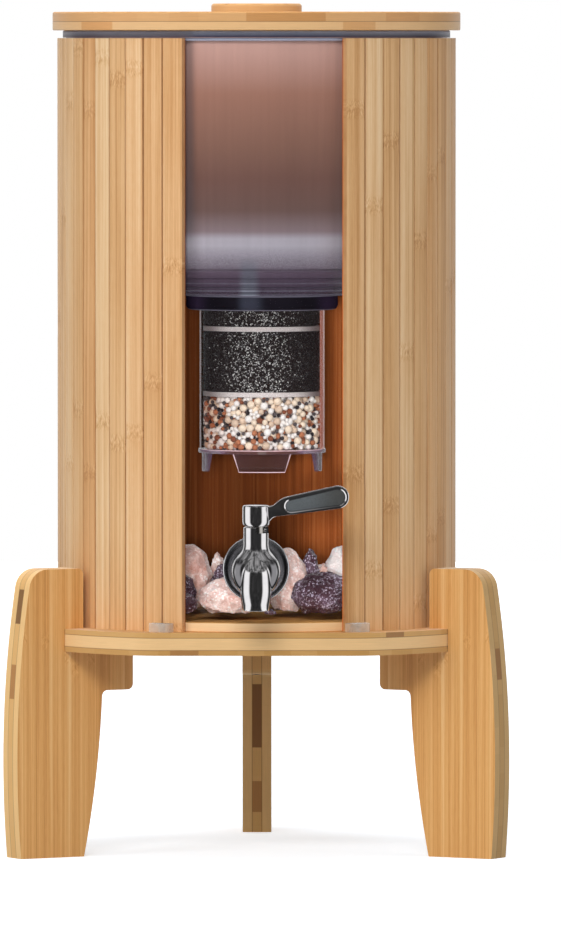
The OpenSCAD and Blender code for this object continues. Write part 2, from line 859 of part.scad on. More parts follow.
module in_lever_plane(y, t) { translate([0, y + t, 0]) rotate([90, 0, 0]) linear_extrude(t) children(); }

module tap_lever() {
    color("silver")
        at_tap()
            difference() {
                union() {
                    translate([0, 0, hub_z]) rounded_disc(hub_r, hub_h, 1, 0.5);
                    in_lever_plane(-lever_t / 2, lever_t) {
                        arm_outline();
                        paddle_outline();
                    }
                }
                translate([0, 0, hub_z - over]) cylinder(r = plug_neck_r + fixed_gap, h = plug_neck_h + over);
                in_lever_plane(-lever_t / 2 - over, insert_depth + over) paddle_outline(insert_rim - fixed_gap);
            }
}

module tap_lever_insert() {
    color("dimgray")
        at_tap()
            in_lever_plane(-lever_t / 2 + insert_depth - insert_t, insert_t) paddle_outline(insert_rim);
}

// ---- Stones on the tank's floor ----

// Each stone: its place and its half sizes as shares of the tank's bore radius, and its turn
rose_stones = [
    [-0.13, -0.646, [0.196, 0.176, 0.114], 12],
    [0.155, -0.415, [0.132, 0.14, 0.192], -20],
    [-0.372, -0.155, [0.15, 0.147, 0.198], 35],
    [0.348, -0.395, [0.056, 0.062, 0.145], 50],
    [-0.2, 0, [0.066, 0.072, 0.176], -40],
    [0.35, 0.14, [0.154, 0.132, 0.132], 15]];
amethyst_stones = [
    [0.348, -0.65, [0.176, 0.16, 0.13], 10],
    [-0.394, -0.735, [0.098, 0.082, 0.066], -15],
    [0.075, -0.86, [0.044, 0.037, 0.022], 30],
    [0.268, -0.19, [0.088, 0.08, 0.184], 25],
    [-0.4, -0.515, [0.102, 0.085, 0.118], 40],
    [-0.165, -0.375, [0.103, 0.088, 0.148], -25],
    [-0.66, -0.22, [0.132, 0.11, 0.132], 60],
    [0.02, 0.16, [0.117, 0.125, 0.103], -30],
    [-0.45, 0.2, [0.125, 0.11, 0.11], 5]];
white_stones = [[0.448, -0.215, [0.1, 0.118, 0.195], -8]];

// Broken chunk: an egg with three flat breaks, cut level where it rests
module stone(half, turn) {
    rest = 0.82 * half.z;
    translate([0, 0, rest])
        intersection() {
            rotate([0, 0, turn]) scale(half) rotate([18, 24, 0]) sphere(r = 1, $fn = 10);
            rotate([28, -20, turn * 3]) cube([1.8 * half.x, 1.75 * half.y, 1.9 * half.z], center = true);
            translate([-2 * half.x, -2 * half.y, -rest]) cube([4 * half.x, 4 * half.y, 2 * rest + half.z]);
        }
}

module stones(list) {
    for (s = list)
        translate([s[0] * tank_bore_r, s[1] * tank_bore_r, tank_z + tank_floor_t])
            stone(s[2] * tank_bore_r, s[3]);
}

module rose_quartz() { color("pink") stones(rose_stones); }

module amethyst() { color("rebeccapurple") stones(amethyst_stones); }

module white_quartz() { color("snow") stones(white_stones); }

base_plate();
leg_left();
leg_right();
leg_rear();
leg_screws();
tank_base_disc();
mat_backing();
bamboo_slats();
mat_stop_left();
mat_stop_right();
mat_stop_screws();
lower_tank();
upper_tank();
lid_board();
lid_locating_disc();
lid_knob();
lid_knob_screw();
cartridge_cap();
cartridge_gasket();
cartridge_nut();
cartridge_nut_washer();
cartridge_housing();
upper_felt_disc();
lower_felt_disc();
upper_carbon_bed();
lower_carbon_bed();
ceramic_ball_bed();
cartridge_base();
tap_body();
tap_rosette();
tap_outer_washer();
tap_inner_washer();
tap_nut();
tap_lever();
tap_lever_insert();
tap_plug();
tap_plug_seals();
tap_stop_pin();
rose_quartz();
amethyst();
white_quartz();
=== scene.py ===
import json
import math
import random

import bpy
import numpy as np
from mathutils import Euler, Matrix, Vector

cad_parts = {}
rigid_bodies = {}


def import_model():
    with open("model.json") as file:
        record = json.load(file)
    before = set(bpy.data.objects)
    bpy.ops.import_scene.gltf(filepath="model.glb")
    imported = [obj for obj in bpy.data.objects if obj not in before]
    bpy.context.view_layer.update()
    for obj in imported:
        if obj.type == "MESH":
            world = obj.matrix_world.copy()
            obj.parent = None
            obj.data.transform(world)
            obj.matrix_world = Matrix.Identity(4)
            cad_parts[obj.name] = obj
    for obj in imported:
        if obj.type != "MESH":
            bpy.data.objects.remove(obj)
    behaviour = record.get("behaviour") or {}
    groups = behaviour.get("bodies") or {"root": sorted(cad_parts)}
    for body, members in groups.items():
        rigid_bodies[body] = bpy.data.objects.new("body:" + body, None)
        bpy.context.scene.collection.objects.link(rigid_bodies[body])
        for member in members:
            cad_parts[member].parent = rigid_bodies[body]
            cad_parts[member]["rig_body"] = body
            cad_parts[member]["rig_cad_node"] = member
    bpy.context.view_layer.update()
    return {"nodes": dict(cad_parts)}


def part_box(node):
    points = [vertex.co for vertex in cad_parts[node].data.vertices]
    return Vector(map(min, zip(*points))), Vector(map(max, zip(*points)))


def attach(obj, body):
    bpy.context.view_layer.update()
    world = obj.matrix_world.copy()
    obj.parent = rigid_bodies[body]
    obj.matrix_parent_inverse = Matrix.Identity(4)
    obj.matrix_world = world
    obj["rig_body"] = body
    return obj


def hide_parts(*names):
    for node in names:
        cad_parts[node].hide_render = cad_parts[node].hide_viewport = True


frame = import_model()
nodes = frame["nodes"]
cartridgeX = 0.004  # how far right of the tank's axis the cartridge stands
print("frame loaded:", len(nodes), "nodes")


def tone(red, green, blue):  # a screen colour, 0 to 255, as a linear colour
    def linear(level):
        share = level / 255
        return share / 12.92 if share <= 0.04045 else ((share + 0.055) / 1.055) ** 2.4
    return linear(red), linear(green), linear(blue), 1


class Flow:  # a node's output, which can stand in sums
    def __init__(self, graph, socket):
        self.graph = graph
        self.socket = socket

    def __neg__(self):
        return self * -1

    def __abs__(self):
        return self.graph.sums("ABSOLUTE", self)

    def step(self, low, high):  # 0 below low, 1 above high, soft between
        sockets = {"Value": self, "From Min": low, "From Max": high}
        return self.graph.node("MapRange", {"interpolation_type": "SMOOTHSTEP"}, sockets)

    def fall(self, low, high):  # 1 below low, 0 above high
        return 1 - self.step(low, high)

    def stretch(self, rise, drop):  # 1 between rise and drop, each with its soft start and end
        return self.step(*rise) * self.fall(*drop)

    def line(self, place, core, edge):  # 1 within core of place, 0 beyond edge
        return abs(self - place).fall(core, edge)

    def chance(self):  # the same random share for the same number
        return self.graph.node("TexWhiteNoise", {"noise_dimensions": "1D"}, {"W": self})

    def ramp(self, *stops, how="LINEAR"):  # each stop is a place and a screen colour
        made = self.graph.node("ValToRGB", {}, {"Fac": self})
        ramp = made.socket.node.color_ramp
        ramp.interpolation = how
        while len(ramp.elements) < len(stops):
            ramp.elements.new(1)
        for element, (place, *colour) in zip(ramp.elements, stops):
            element.position = place
            element.color = tone(*colour)
        return made

    def tint(self, share, colour, how="MIX"):
        return self.graph.mix(share, self, colour, how)


def twoSided(how, turned):  # an operator between a node's output and a number or another output
    def act(self, other):
        return self.graph.sums(how, *((other, self) if turned else (self, other)))
    return act


operators = {"add": "ADD", "sub": "SUBTRACT", "mul": "MULTIPLY", "truediv": "DIVIDE", "pow": "POWER"}
for word, how in operators.items():
    setattr(Flow, f"__{word}__", twoSided(how, False))
    setattr(Flow, f"__r{word}__", twoSided(how, True))


class Graph:  # the nodes that work out what varies
    def __init__(self, tree):
        self.tree = tree

    def feed(self, socket, value):
        if isinstance(value, Flow):
            self.tree.links.new(value.socket, socket)
        else:
            socket.default_value = value

    def node(self, kind, settings, sockets, output=0):
        made = self.tree.nodes.new("ShaderNode" + kind)
        for name, value in settings.items():
            setattr(made, name, value)
        for name, value in sockets.items():
            self.feed(made.inputs[name], value)
        return Flow(self, made.outputs[output])

    def sums(self, operation, *values):
        return self.node("Math", {"operation": operation}, dict(enumerate(values)))

    def place(self, turn=0.0):  # object coordinates, turned about the tank's axis
        here = self.node("TexCoord", {}, {}, "Object")
        return self.node("Mapping", {}, {"Vector": here, "Rotation": (0, 0, turn)})

    def facing(self, turn=0.0):  # the surface's own direction, turned the same way
        normal = self.node("TexCoord", {}, {}, "Normal")
        turned = {"Vector": normal, "Rotation": (0, 0, turn)}
        return self.parts(self.node("Mapping", {"vector_type": "VECTOR"}, turned))

    def parts(self, vector):
        return [self.node("SeparateXYZ", {}, {0: vector}, axis) for axis in range(3)]

    def spot(self, turn=0.0):
        return self.parts(self.place(turn))

    def vector(self, x, y, z):
        return self.node("CombineXYZ", {}, {0: x, 1: y, 2: z})

    def noise(self, vector, scale=1.0, detail=2.0, rough=0.5):
        sockets = {"Vector": vector, "Scale": scale, "Detail": detail, "Roughness": rough}
        return self.node("TexNoise", {}, sockets)

    def grain(self, *settings):
        return self.noise(self.place(), *settings)

    def cells(self, vector, scale, output="Distance", feature="F1"):
        return self.node("TexVoronoi", {"feature": feature}, {"Vector": vector, "Scale": scale}, output)

    def glint(self, vector, scale):  # a random share for each small cell
        return self.parts(self.cells(vector, scale, "Color"))[0]

    def rim(self, blend):
        return self.node("LayerWeight", {}, {"Blend": blend}, "Facing")

    def mix(self, share, first, second, how="MIX"):
        return self.node("Mix", {"data_type": "RGBA", "blend_type": how}, {0: share, 6: first, 7: second}, 2)

    def shade(self, colour, factor):  # brightens or darkens a colour
        start = colour if isinstance(colour, Flow) else colour[:3]
        return self.node("VectorMath", {"operation": "SCALE"}, {0: start, "Scale": factor})

    def attribute(self, name):
        return self.node("Attribute", {"attribute_name": name}, {}, "Fac")


class Finish(Graph):  # one material
    def __init__(self, name, constants):
        self.material = bpy.data.materials.new(name)
        self.material.use_nodes = True
        super().__init__(self.material.node_tree)
        self.shader = self.tree.nodes["Principled BSDF"]
        for socket, value in constants.items():
            self.shader.inputs[socket].default_value = value

    def vary(self, socket, value):  # sends a varying value to the surface
        self.feed(self.shader.inputs[socket], value)

    def bump(self, height, distance, strength=1.0):
        sockets = {"Height": height, "Distance": distance, "Strength": strength}
        self.vary("Normal", self.node("Bump", {}, sockets))


def middleOf(name):
    low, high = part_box(name)
    return (low + high) / 2


def dress(finish, *names):  # gives CAD nodes a finish, their shapes stay
    for name in names:
        slots = nodes[name].material_slots
        if not slots:
            nodes[name].data.materials.append(finish.material)
        for slot in slots:
            slot.material = finish.material


fibreLook = {"broad": (330, 2.2), "fine": (1500, 7), "flecks": (3200, 120)}  # per metre across and along


def fibres(finish, across, along, seed):  # streaks of the culm's fibres, about 0.5 in the middle
    def streaks(kind, turn, detail, rough):
        wide, long = fibreLook[kind]
        return finish.noise(finish.vector(across * wide, along * long, seed * turn), 1.0, detail, rough)
    fine = streaks("fine", 97, 2, 0.6)
    return streaks("broad", 61, 2, 0.5) * 0.5 + fine * 0.36 + streaks("flecks", 31, 1, 0.5) * 0.14, fine


def knuckles(finish, across, along, seed, spacing, reach):
    cycle = finish.sums("FRACT", along / spacing + 0.5) - 0.5
    above = cycle * spacing
    band = abs(above).fall(reach * 0.35, reach)
    bend = abs(across) * 1.4
    mottle = finish.noise(finish.vector(across * 700, (along + bend) * 330, seed * 17), detail=3, rough=0.7)
    tail = (-above).stretch((-0.001, 0.001), (0.0, reach * 7))
    return band, mottle, tail


slatLook = {
    "knuckleSpacing": 0.262,
    "knuckleReach": 0.009,
    "toneSpread": 0.20,
    "contrast": {"fibre": 2.3, "knuckle": 2.0, "patch": 0.55},
    "sides": (0.0070, 0.0077),  # where a slat's face turns into its side, from its middle; the side gets a painted shade
}


def slatBamboo():
    look = slatLook
    contrast = look["contrast"]
    finish = Finish("slatBamboo", {"Specular IOR Level": 0.35, "Coat Weight": 0.06, "Coat Roughness": 0.35})
    across, along, _ = finish.parts(finish.node("UVMap", {"uv_map": "slatMap"}, {}))
    seed = finish.attribute("slatSeed")
    level = finish.attribute("slatTone")
    streak, fine = fibres(finish, across, along, seed)
    band, mottle, tail = knuckles(finish, across, along, seed, look["knuckleSpacing"], look["knuckleReach"])
    share = 0.5 + (streak - 0.5) * contrast["fibre"] + level * look["toneSpread"] - tail * 0.10
    patch = finish.noise(finish.vector(across * 45, along * 7, seed * 43), detail=2)
    share = share + band * (mottle - 0.54) * contrast["knuckle"] + (patch - 0.5) * contrast["patch"]
    colour = share.ramp((0.0, 190, 140, 88), (0.33, 212, 166, 114),
                        (0.62, 226, 186, 138), (1.0, 238, 208, 166))
    rosy = (seed * 53).chance()
    colour = colour.tint(rosy * 0.5, tone(255, 232, 214), "MULTIPLY")
    # painted shade: each slat darkens towards its sides, where the face turns into the gap
    side = abs(across).step(*look["sides"])
    colour = colour.tint(side * 0.22, tone(150, 98, 52), "MULTIPLY")
    finish.vary("Base Color", colour)
    finish.vary("Roughness", 0.42 + fine * 0.22)
    finish.bump(fine * 0.5 + band * mottle * 1.6, 0.0003, 0.6)
    return finish


boardLook = {
    "strip": 0.0062,  # width of one glued strip
    "gloss": 0.4,
    "knuckleSpacing": 0.3,
    "knuckleReach": 0.008,
    "contrast": {"fibre": 2.2, "strip": 0.30, "knuckle": 1.4},
    "block": 0.019,  # length of an edge that keeps one tone
    "plySoft": 0.0002,  # half the soft change from ply to ply
    "inlaySoft": (0.0003, 0.0006),
    "seam": (0.00012, 0.0004),  # half widths of the glue line's core and edge
    "lightTone": tone(232, 190, 134),
    "seamTone": tone(120, 74, 34),
}


def boardFace(finish, across, along):
    look = boardLook
    contrast = look["contrast"]
    strip = look["strip"]
    sway = finish.noise(finish.vector(across * 40, along * 3, 0.5), detail=1)
    lane = across / strip + sway * 0.5
    number = finish.sums("FLOOR", lane)
    inLane = finish.sums("FRACT", lane) - 0.5
    seed = (number + 3.7).chance()
    streak, fine = fibres(finish, across, along, seed)
    phase = (number * 1.7 + 9.1).chance()
    held = (number * 2.3 + 0.4).chance().step(0.55, 0.6)
    band, mottle, _ = knuckles(finish, inLane * strip, along + phase * 0.3, seed,
                               look["knuckleSpacing"], look["knuckleReach"])
    face = 0.5 + (streak - 0.5) * contrast["fibre"] + (seed - 0.5) * contrast["strip"]
    face = face + held * band * (mottle - 0.5) * contrast["knuckle"]
    face = face - abs(inLane).step(0.42, 0.5) * 0.05
    colour = face.ramp((0.0, 188, 126, 62), (0.35, 216, 156, 88),
                       (0.65, 230, 174, 106), (1.0, 242, 198, 138))
    return colour, fine


def boardBamboo(name, turn, stand, plies, inlays=(), edgeLightGain=1.0, gloss=boardLook["gloss"]):
    # stand: the grain runs up a leg, else along X. plies: lower and upper limit along the board's thickness
    # and the tone. inlays: the ply's number, where along the grain it starts and stops, and the tone
    look = boardLook
    finish = Finish(name, {"Specular IOR Level": gloss, "Coat Weight": gloss * 0.3, "Coat Roughness": 0.3})
    x, y, z = finish.spot(turn)
    across, along, through = (x, z, y) if stand else (y, x, z)
    flat = abs(finish.facing(turn)[1 if stand else 2])
    faceColour, fine = boardFace(finish, across, along)
    edge = finish.noise(finish.vector(along * 60, across * 60, through * 2600), detail=3, rough=0.6)
    soft = look["plySoft"]
    edgeColour = None
    for low, high, colour in plies:
        inside = through.stretch((low - soft, low + soft), (high - soft, high + soft))
        run = along if stand else along + across * 0.3
        lot = (finish.sums("FLOOR", run / look["block"] + low * 900) + high * 310).chance()
        # edgeLightGain is painted light: it brightens or darkens a board's ply edges as if lit or shaded
        level = finish.shade(colour, (0.86 + edge * 0.28) * edgeLightGain)
        level = finish.mix((lot - 0.3) * 0.25, level, look["lightTone"])
        edgeColour = level if edgeColour is None else edgeColour.tint(inside, level)
    thin, soft = look["inlaySoft"]
    for number, start, stop, colour in inlays:
        low, high, _ = plies[number]
        inside = through.stretch((low, low + thin), (high - thin, high))
        inside = inside * along.stretch((start, start + soft), (stop - soft, stop))
        edgeColour = edgeColour.tint(inside * 0.85, finish.shade(colour, 0.8 + edge * 0.4))
    for low, _, _ in plies[1:]:
        edgeColour = edgeColour.tint(through.line(low, *look["seam"]) * 0.6, look["seamTone"])
    finish.vary("Base Color", edgeColour.tint(flat.step(0.55, 0.75), faceColour))
    finish.vary("Roughness", 0.36 + fine * 0.22)
    finish.bump(fine, 0.00025, 0.5)
    return finish


boardRecipes = {
    # plies: lower and upper limit and tone; inlays: ply, start, stop and tone
    "plate": {"nodes": ["base_plate"],
              "plies": [(0.0, 0.1529, tone(196, 148, 84)), (0.1529, 0.1617, tone(236, 194, 138)),
                        (0.1617, 1.0, tone(206, 158, 94))],
              "inlays": [(2, 0.0930, 0.1066, tone(150, 104, 60)), (0, -0.062, -0.041, tone(168, 120, 70))]},
    "disc": {"nodes": ["tank_base_disc"], "gloss": 0.0, "inlays": [],
             "plies": [(0.0, 1.0, tone(244, 210, 164))]},
    "lid": {"nodes": ["lid_board", "lid_locating_disc", "lid_knob"],
            "plies": [(0.0, 0.6038, tone(226, 182, 130)), (0.6038, 0.6109, tone(214, 162, 108)),
                      (0.6109, 1.0, tone(218, 174, 122))],
            "inlays": [(1, -0.0073, 0.0502, tone(198, 142, 86)), (0, -0.1265, -0.1032, tone(212, 152, 92)),
                       (1, 0.0930, 0.1180, tone(206, 150, 94)), (0, 0.0620, 0.0860, tone(210, 156, 100))]},
}
legPlies = [(-1.0, -0.0036, tone(226, 184, 124)), (-0.0036, 0.0036, tone(214, 168, 106)),
            (0.0036, 1.0, tone(228, 186, 126))]
legRecipes = {
    # gain is painted light on the ply edges: the left leg's edges lighter as if lit, the right leg's darker
    # as if shaded
    "leg_left": {"title": "legLeftBamboo", "gain": 1.16,
                 "inlays": [(1, 0.1692, 0.1945, tone(112, 72, 36)),
                            (1, 0.1151, 0.1404, tone(176, 120, 66))]},
    "leg_right": {"title": "legRightBamboo", "gain": 0.80,
                  "inlays": [(1, 0.1290, 0.1520, tone(150, 104, 60))]},
    "leg_rear": {"title": "legRearBamboo", "gain": 1.0,
                 "inlays": [(1, 0.0637, 0.1118, tone(120, 74, 38)),
                            (1, 0.0150, 0.0390, tone(170, 118, 68))]},
}


def bambooBoards():
    for name, leg in legRecipes.items():
        middle = middleOf(name)
        heading = math.atan2(middle.y, middle.x)
        dress(boardBamboo(leg["title"], -heading, True, legPlies, leg["inlays"], leg["gain"]), name)
    for name, board in boardRecipes.items():
        gloss = board.get("gloss", boardLook["gloss"])
        finish = boardBamboo(name + "Bamboo", 0, False, board["plies"], board["inlays"], gloss=gloss)
        dress(finish, *board["nodes"])
    print("bamboo boards finished")


slatRecipe = {
    "count": 49,
    "windowLeft": -21.3,  # degrees from the front
    "windowRight": 26.3,
    "inner": 0.1404,  # radii of a slat's back and front
    "outer": 0.1448,
    "gap": 0.0002,
    "edgeRound": 0.0005,
    "rows": 44,
    "swell": 0.00035,  # how proud a knuckle stands
    "swellReach": 0.006,
    "lean": 0.0006,
    "narrow": (0.962, 1.0),  # least and most of its full width that a slat keeps
    # knuckle heights in metres of the slats whose knuckles show most, counted from the window
    "leftKnuckles": {1: 0.428, 2: 0.345, 4: 0.300, 5: 0.316, 6: 0.278},
    "rightKnuckles": {1: 0.541, 3: 0.518, 4: 0.366, 6: 0.232, 5: 0.184},
}


def clearPick():
    if bpy.context.object and bpy.context.object.mode != "OBJECT":
        bpy.ops.object.mode_set(mode="OBJECT")
    bpy.ops.object.select_all(action="DESELECT")


def pickOnly(obj):
    clearPick()
    obj.select_set(True)
    bpy.context.view_layer.objects.active = obj


def editMode(on):
    bpy.ops.object.mode_set(mode="EDIT" if on else "OBJECT")


def pickAll():  # in edit mode
    editMode(True)
    bpy.ops.mesh.select_all(action="SELECT")


def rework(obj, mode, test, action, **settings):  # acts on the edges or corners that test likes
    pickOnly(obj)
    mesh = obj.data
    for group in (mesh.vertices, mesh.edges, mesh.polygons):
        group.foreach_set("select", [False] * len(group))
    editMode(True)
    bpy.ops.mesh.select_mode(type=mode)
    editMode(False)
    if mode == "EDGE":
        for edge in mesh.edges:
            edge.select = test(*[mesh.vertices[end].co for end in edge.vertices])
    else:
        for vertex in mesh.vertices:
            vertex.select = test(vertex.co)
    editMode(True)
    action(**settings)
    editMode(False)


def modify(obj, kind, settings):
    pickOnly(obj)
    added = obj.modifiers.new(kind.lower(), kind)
    for name, value in settings.items():
        setattr(added, name, value)
    bpy.ops.object.modifier_apply(modifier=added.name)


def spawn(name, make, **settings):  # one of Blender's own shapes, its place worked into the mesh
    clearPick()
    make(**settings)
    made = bpy.context.object
    made.name = name
    bpy.ops.object.transform_apply(location=True, rotation=True, scale=True)
    return made


def smoothAt(obj, degrees):
    pickOnly(obj)
    bpy.ops.object.shade_smooth_by_angle(angle=math.radians(degrees))


def link(obj):
    bpy.context.scene.collection.objects.link(obj)
    return obj


def handOver(obj, finish, body, replaced):
    obj.data.materials.clear()
    obj.data.materials.append(finish.material)
    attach(obj, body)
    if replaced:
        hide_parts(*replaced)
    print(obj.name, "handed over with", len(obj.data.polygons), "faces")


def plainSlat(recipe, low, high):  # one slat at the front of the mat, its back at inner
    pitch = math.radians((360 - recipe["windowRight"] + recipe["windowLeft"]) / recipe["count"])
    width = 2 * recipe["inner"] * math.tan(pitch / 2) - recipe["gap"] + 0.0003
    depth = recipe["outer"] - recipe["inner"]
    height = high - low
    slat = spawn("slat", bpy.ops.mesh.primitive_cube_add, size=1, scale=(width, depth, height),
                 location=(0, -recipe["inner"] - depth / 2, low + height / 2))
    front = -recipe["outer"] + 1e-5
    rework(slat, "EDGE", lambda a, b: abs(a.x - b.x) < 1e-6 and abs(a.z - b.z) > 0.1 and a.y < front,
           bpy.ops.mesh.bevel, offset=recipe["edgeRound"], segments=4, affect="EDGES")
    rework(slat, "EDGE", lambda a, b: abs(a.z - b.z) > 0.1,
           bpy.ops.mesh.subdivide, number_cuts=recipe["rows"])
    return slat, pitch


def shapeSlat(mesh, recipe, spacing, low, high, slat):  # one slat's map, knuckles, lean and width
    while mesh.uv_layers:
        mesh.uv_layers.remove(mesh.uv_layers[0])
    uv = mesh.uv_layers.new(name="slatMap")
    for loop in mesh.loops:
        point = mesh.vertices[loop.vertex_index].co
        uv.data[loop.index].uv = (point.x, point.z - slat["phase"])
    for vertex in mesh.vertices:
        away = ((vertex.co.z - slat["phase"]) / spacing + 0.5) % 1 - 0.5
        bulge = math.exp(-(away * spacing / recipe["swellReach"]) ** 2) * recipe["swell"]
        vertex.co.x *= slat["narrow"]
        vertex.co.x += slat["lean"] * (vertex.co.z - low) / (high - low) - slat["lean"] / 2
        if vertex.co.y < -(recipe["inner"] + recipe["outer"]) / 2:
            vertex.co.y += bulge - recipe["swell"]
    for name in ("slatSeed", "slatTone"):
        layer = mesh.attributes.new(name, "FLOAT", "POINT")
        layer.data.foreach_set("value", [slat[name]] * len(mesh.vertices))


def slatMat():
    recipe = slatRecipe
    rng = random.Random(4)
    low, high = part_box("bamboo_slats")
    start, pitch = plainSlat(recipe, low.z, high.z)
    spacing = slatLook["knuckleSpacing"]
    first = math.radians(recipe["windowRight"])
    last = recipe["count"] - 1
    copies = []
    for index in range(recipe["count"]):
        copy = link(start.copy())
        copy.data = start.data.copy()
        slat = {"slatSeed": rng.random(), "slatTone": rng.uniform(-1, 1)}
        free = rng.random() * spacing
        nearLeft = recipe["leftKnuckles"].get(last + 1 - index, free)  # counted from the window's edges
        slat["phase"] = recipe["rightKnuckles"].get(index + 1, nearLeft)
        lean = rng.uniform(-1, 1) * recipe["lean"]
        slat["lean"] = 0 if index in (0, last) else lean
        slat["narrow"] = rng.uniform(*recipe["narrow"])
        shapeSlat(copy.data, recipe, spacing, low.z, high.z, slat)
        copy.data.transform(Matrix.Rotation(first + pitch * (index + 0.5), 4, "Z"))
        copies.append(copy)
    bpy.data.objects.remove(start)
    clearPick()
    for copy in copies:
        copy.select_set(True)
    bpy.context.view_layer.objects.active = copies[0]
    bpy.ops.object.join()
    mat = bpy.context.object
    mat.name = "bamboo_slat_mat"
    smoothAt(mat, 35)
    mat.visible_glossy = False  # the tap mirrors the studio, not the slats
    handOver(mat, slatBamboo(), "stand", ["bamboo_slats"])


backingLook = {
    "radius": 0.14,
    "strip": 0.0155,
    "right": (-0.012, 0.052),  # where the light from the right begins and is full
    # left: where painted light from the left is full and where it fades out
    "left": (-0.060, -0.020),
}


def backingWeave():
    look = backingLook
    finish = Finish("backingWeave", {"Specular IOR Level": 0.2, "Roughness": 0.85})
    x, y, z = finish.spot()
    arc = finish.sums("ARCTAN2", x, -y) * look["radius"]
    lane = arc / look["strip"] + 0.3
    rib = abs(finish.sums("FRACT", lane) - 0.5)
    seed = finish.sums("FLOOR", lane).chance()
    streak = finish.noise(finish.vector(arc * 420, z * 2, 0), detail=3)
    fine = finish.noise(finish.vector(arc * 1700, z * 12, 0), detail=2)
    share = 0.5 + (streak - 0.5) * 1.1 + (fine - 0.5) * 0.6 + (seed - 0.5) * 0.16
    share = share - rib.step(0.46, 0.5) * 0.16
    colour = share.ramp((0.0, 92, 44, 20), (0.5, 148, 78, 38), (1.0, 186, 116, 66))
    # painted light: the weave is darker in the middle and brighter to the right and the left
    right = x.step(*look["right"])
    left = x.fall(*look["left"])
    finish.vary("Base Color", finish.shade(colour, 0.50 + right * 0.98 + left * 0.42))
    finish.bump(rib * -0.5 + fine * 0.3, 0.0005, 0.4)
    dress(finish, "mat_backing")


tankLook = {"lip": (0.5895, 0.5905), "wall": (0.180, 0.190)}  # heights where the lip and the wall begin


def tankPlastic():
    finish = Finish("clearPlastic", {"Roughness": 0.05, "Specular IOR Level": 0.15, "Coat Weight": 0.0})
    rim = finish.rim(0.25)
    z = finish.spot()[2]
    lip = z.step(*tankLook["lip"])
    wall = z.step(*tankLook["wall"])
    cloud = finish.grain(8, 2)
    tint = finish.mix(lip, finish.mix(wall, tone(150, 104, 84), tone(30, 24, 26)), tone(206, 214, 236))
    finish.vary("Base Color", finish.shade(tint, 0.85 + cloud * 0.3))
    finish.vary("Alpha", 0.02 + wall * 0.01 + (rim ** 4) * wall * 0.35 + lip * 0.5)
    dress(finish, "lower_tank")


def stopPlastic():
    finish = Finish("stopPlastic", {"Base Color": tone(238, 226, 210), "Roughness": 0.22,
                                    "Specular IOR Level": 0.6, "Coat Weight": 0.3})
    cloud = finish.grain(300, 2)
    finish.vary("Alpha", 0.30 + finish.rim(0.35) * 0.4 + cloud * 0.15)
    dress(finish, "mat_stop_left", "mat_stop_right")


# reach is the distance to the side of the cartridge's axis
housingLook = {
    "wall": (0.0441, 0.0447),
    "rightWall": (0.0415, 0.0427),
    "rightLine": (0.0448, 0.0451),
    "leftTone": tone(206, 168, 164),
    "rightTone": tone(196, 84, 34),
    "lineTone": tone(240, 190, 176),
}


def housingPlastic():
    look = housingLook
    finish = Finish("housingPlastic", {"Roughness": 0.06, "Specular IOR Level": 0.15, "Coat Weight": 0.0,
                                       "Emission Strength": 1.0})
    rim = finish.rim(0.3)
    x = finish.spot()[0]
    right = x.step(0.0, 0.01)
    reach = abs(x - cartridgeX)
    start, end = [left + right * (other - left) for left, other in zip(look["wall"], look["rightWall"])]
    wall = reach.step(start, end)
    # painted highlight: a pale line near the right side
    line = reach.step(*look["rightLine"]) * right
    colour = finish.mix(right, look["leftTone"], look["rightTone"])
    colour = colour.tint(line * 0.6, look["lineTone"])
    finish.vary("Base Color", finish.mix(wall, tone(120, 96, 92), colour))
    # painted glow: the colour also shines as emission, except in the wall band
    finish.vary("Emission Color", finish.mix(wall, (0, 0, 0, 1), finish.shade(colour, 0.32)))
    finish.vary("Alpha", 0.03 + (rim ** 3) * (0.04 + right * 0.06) + wall * (0.20 + right * 0.18))
    dress(finish, "cartridge_housing")


footLook = {
    "sole": 0.2762,  # height and half width of the middle foot's lower edge
    "half": 0.01695,
    "flare": 0.287,
    "disc": (0.2894, 0.2898),  # heights where the base's disc and its upper rim begin
    "rim": (0.2915, 0.2922),
    "front": (-0.02, -0.01),  # the painted highlight outlines are at the front only
}


def footPlastic():
    look = footLook
    finish = Finish("footPlastic", {"Roughness": 0.08, "Specular IOR Level": 0.2, "Coat Weight": 0.05})
    rim = finish.rim(0.35)
    cloud = finish.grain(120, 2)
    x, y, z = finish.spot()
    reach = abs(x - cartridgeX)
    # the bright outlines along the feet's sides, soles and upper rim are painted highlights
    side = (reach - (z - look["sole"]) * look["flare"]).line(look["half"], 0.0002, 0.0007)
    sole = z.fall(0.2765, 0.2770) * reach.fall(0.0170, 0.0176)
    disc = z.step(*look["disc"])
    line = finish.sums("MAXIMUM", side * (1 - disc), sole)
    line = finish.sums("MAXIMUM", line, z.step(*look["rim"])) * y.fall(*look["front"])
    plain = finish.mix(reach.step(0.024, 0.030), tone(122, 82, 74), tone(158, 122, 150))
    # painted sheen: paler where the surface is seen edge-on
    plain = plain.tint(rim, tone(188, 156, 184))
    finish.vary("Base Color", plain.tint(line, tone(246, 212, 218)))
    finish.vary("Alpha", 0.08 + rim * 0.26 + cloud * 0.1 + disc * 0.26 + line * 0.5)
    dress(finish, "cartridge_base")


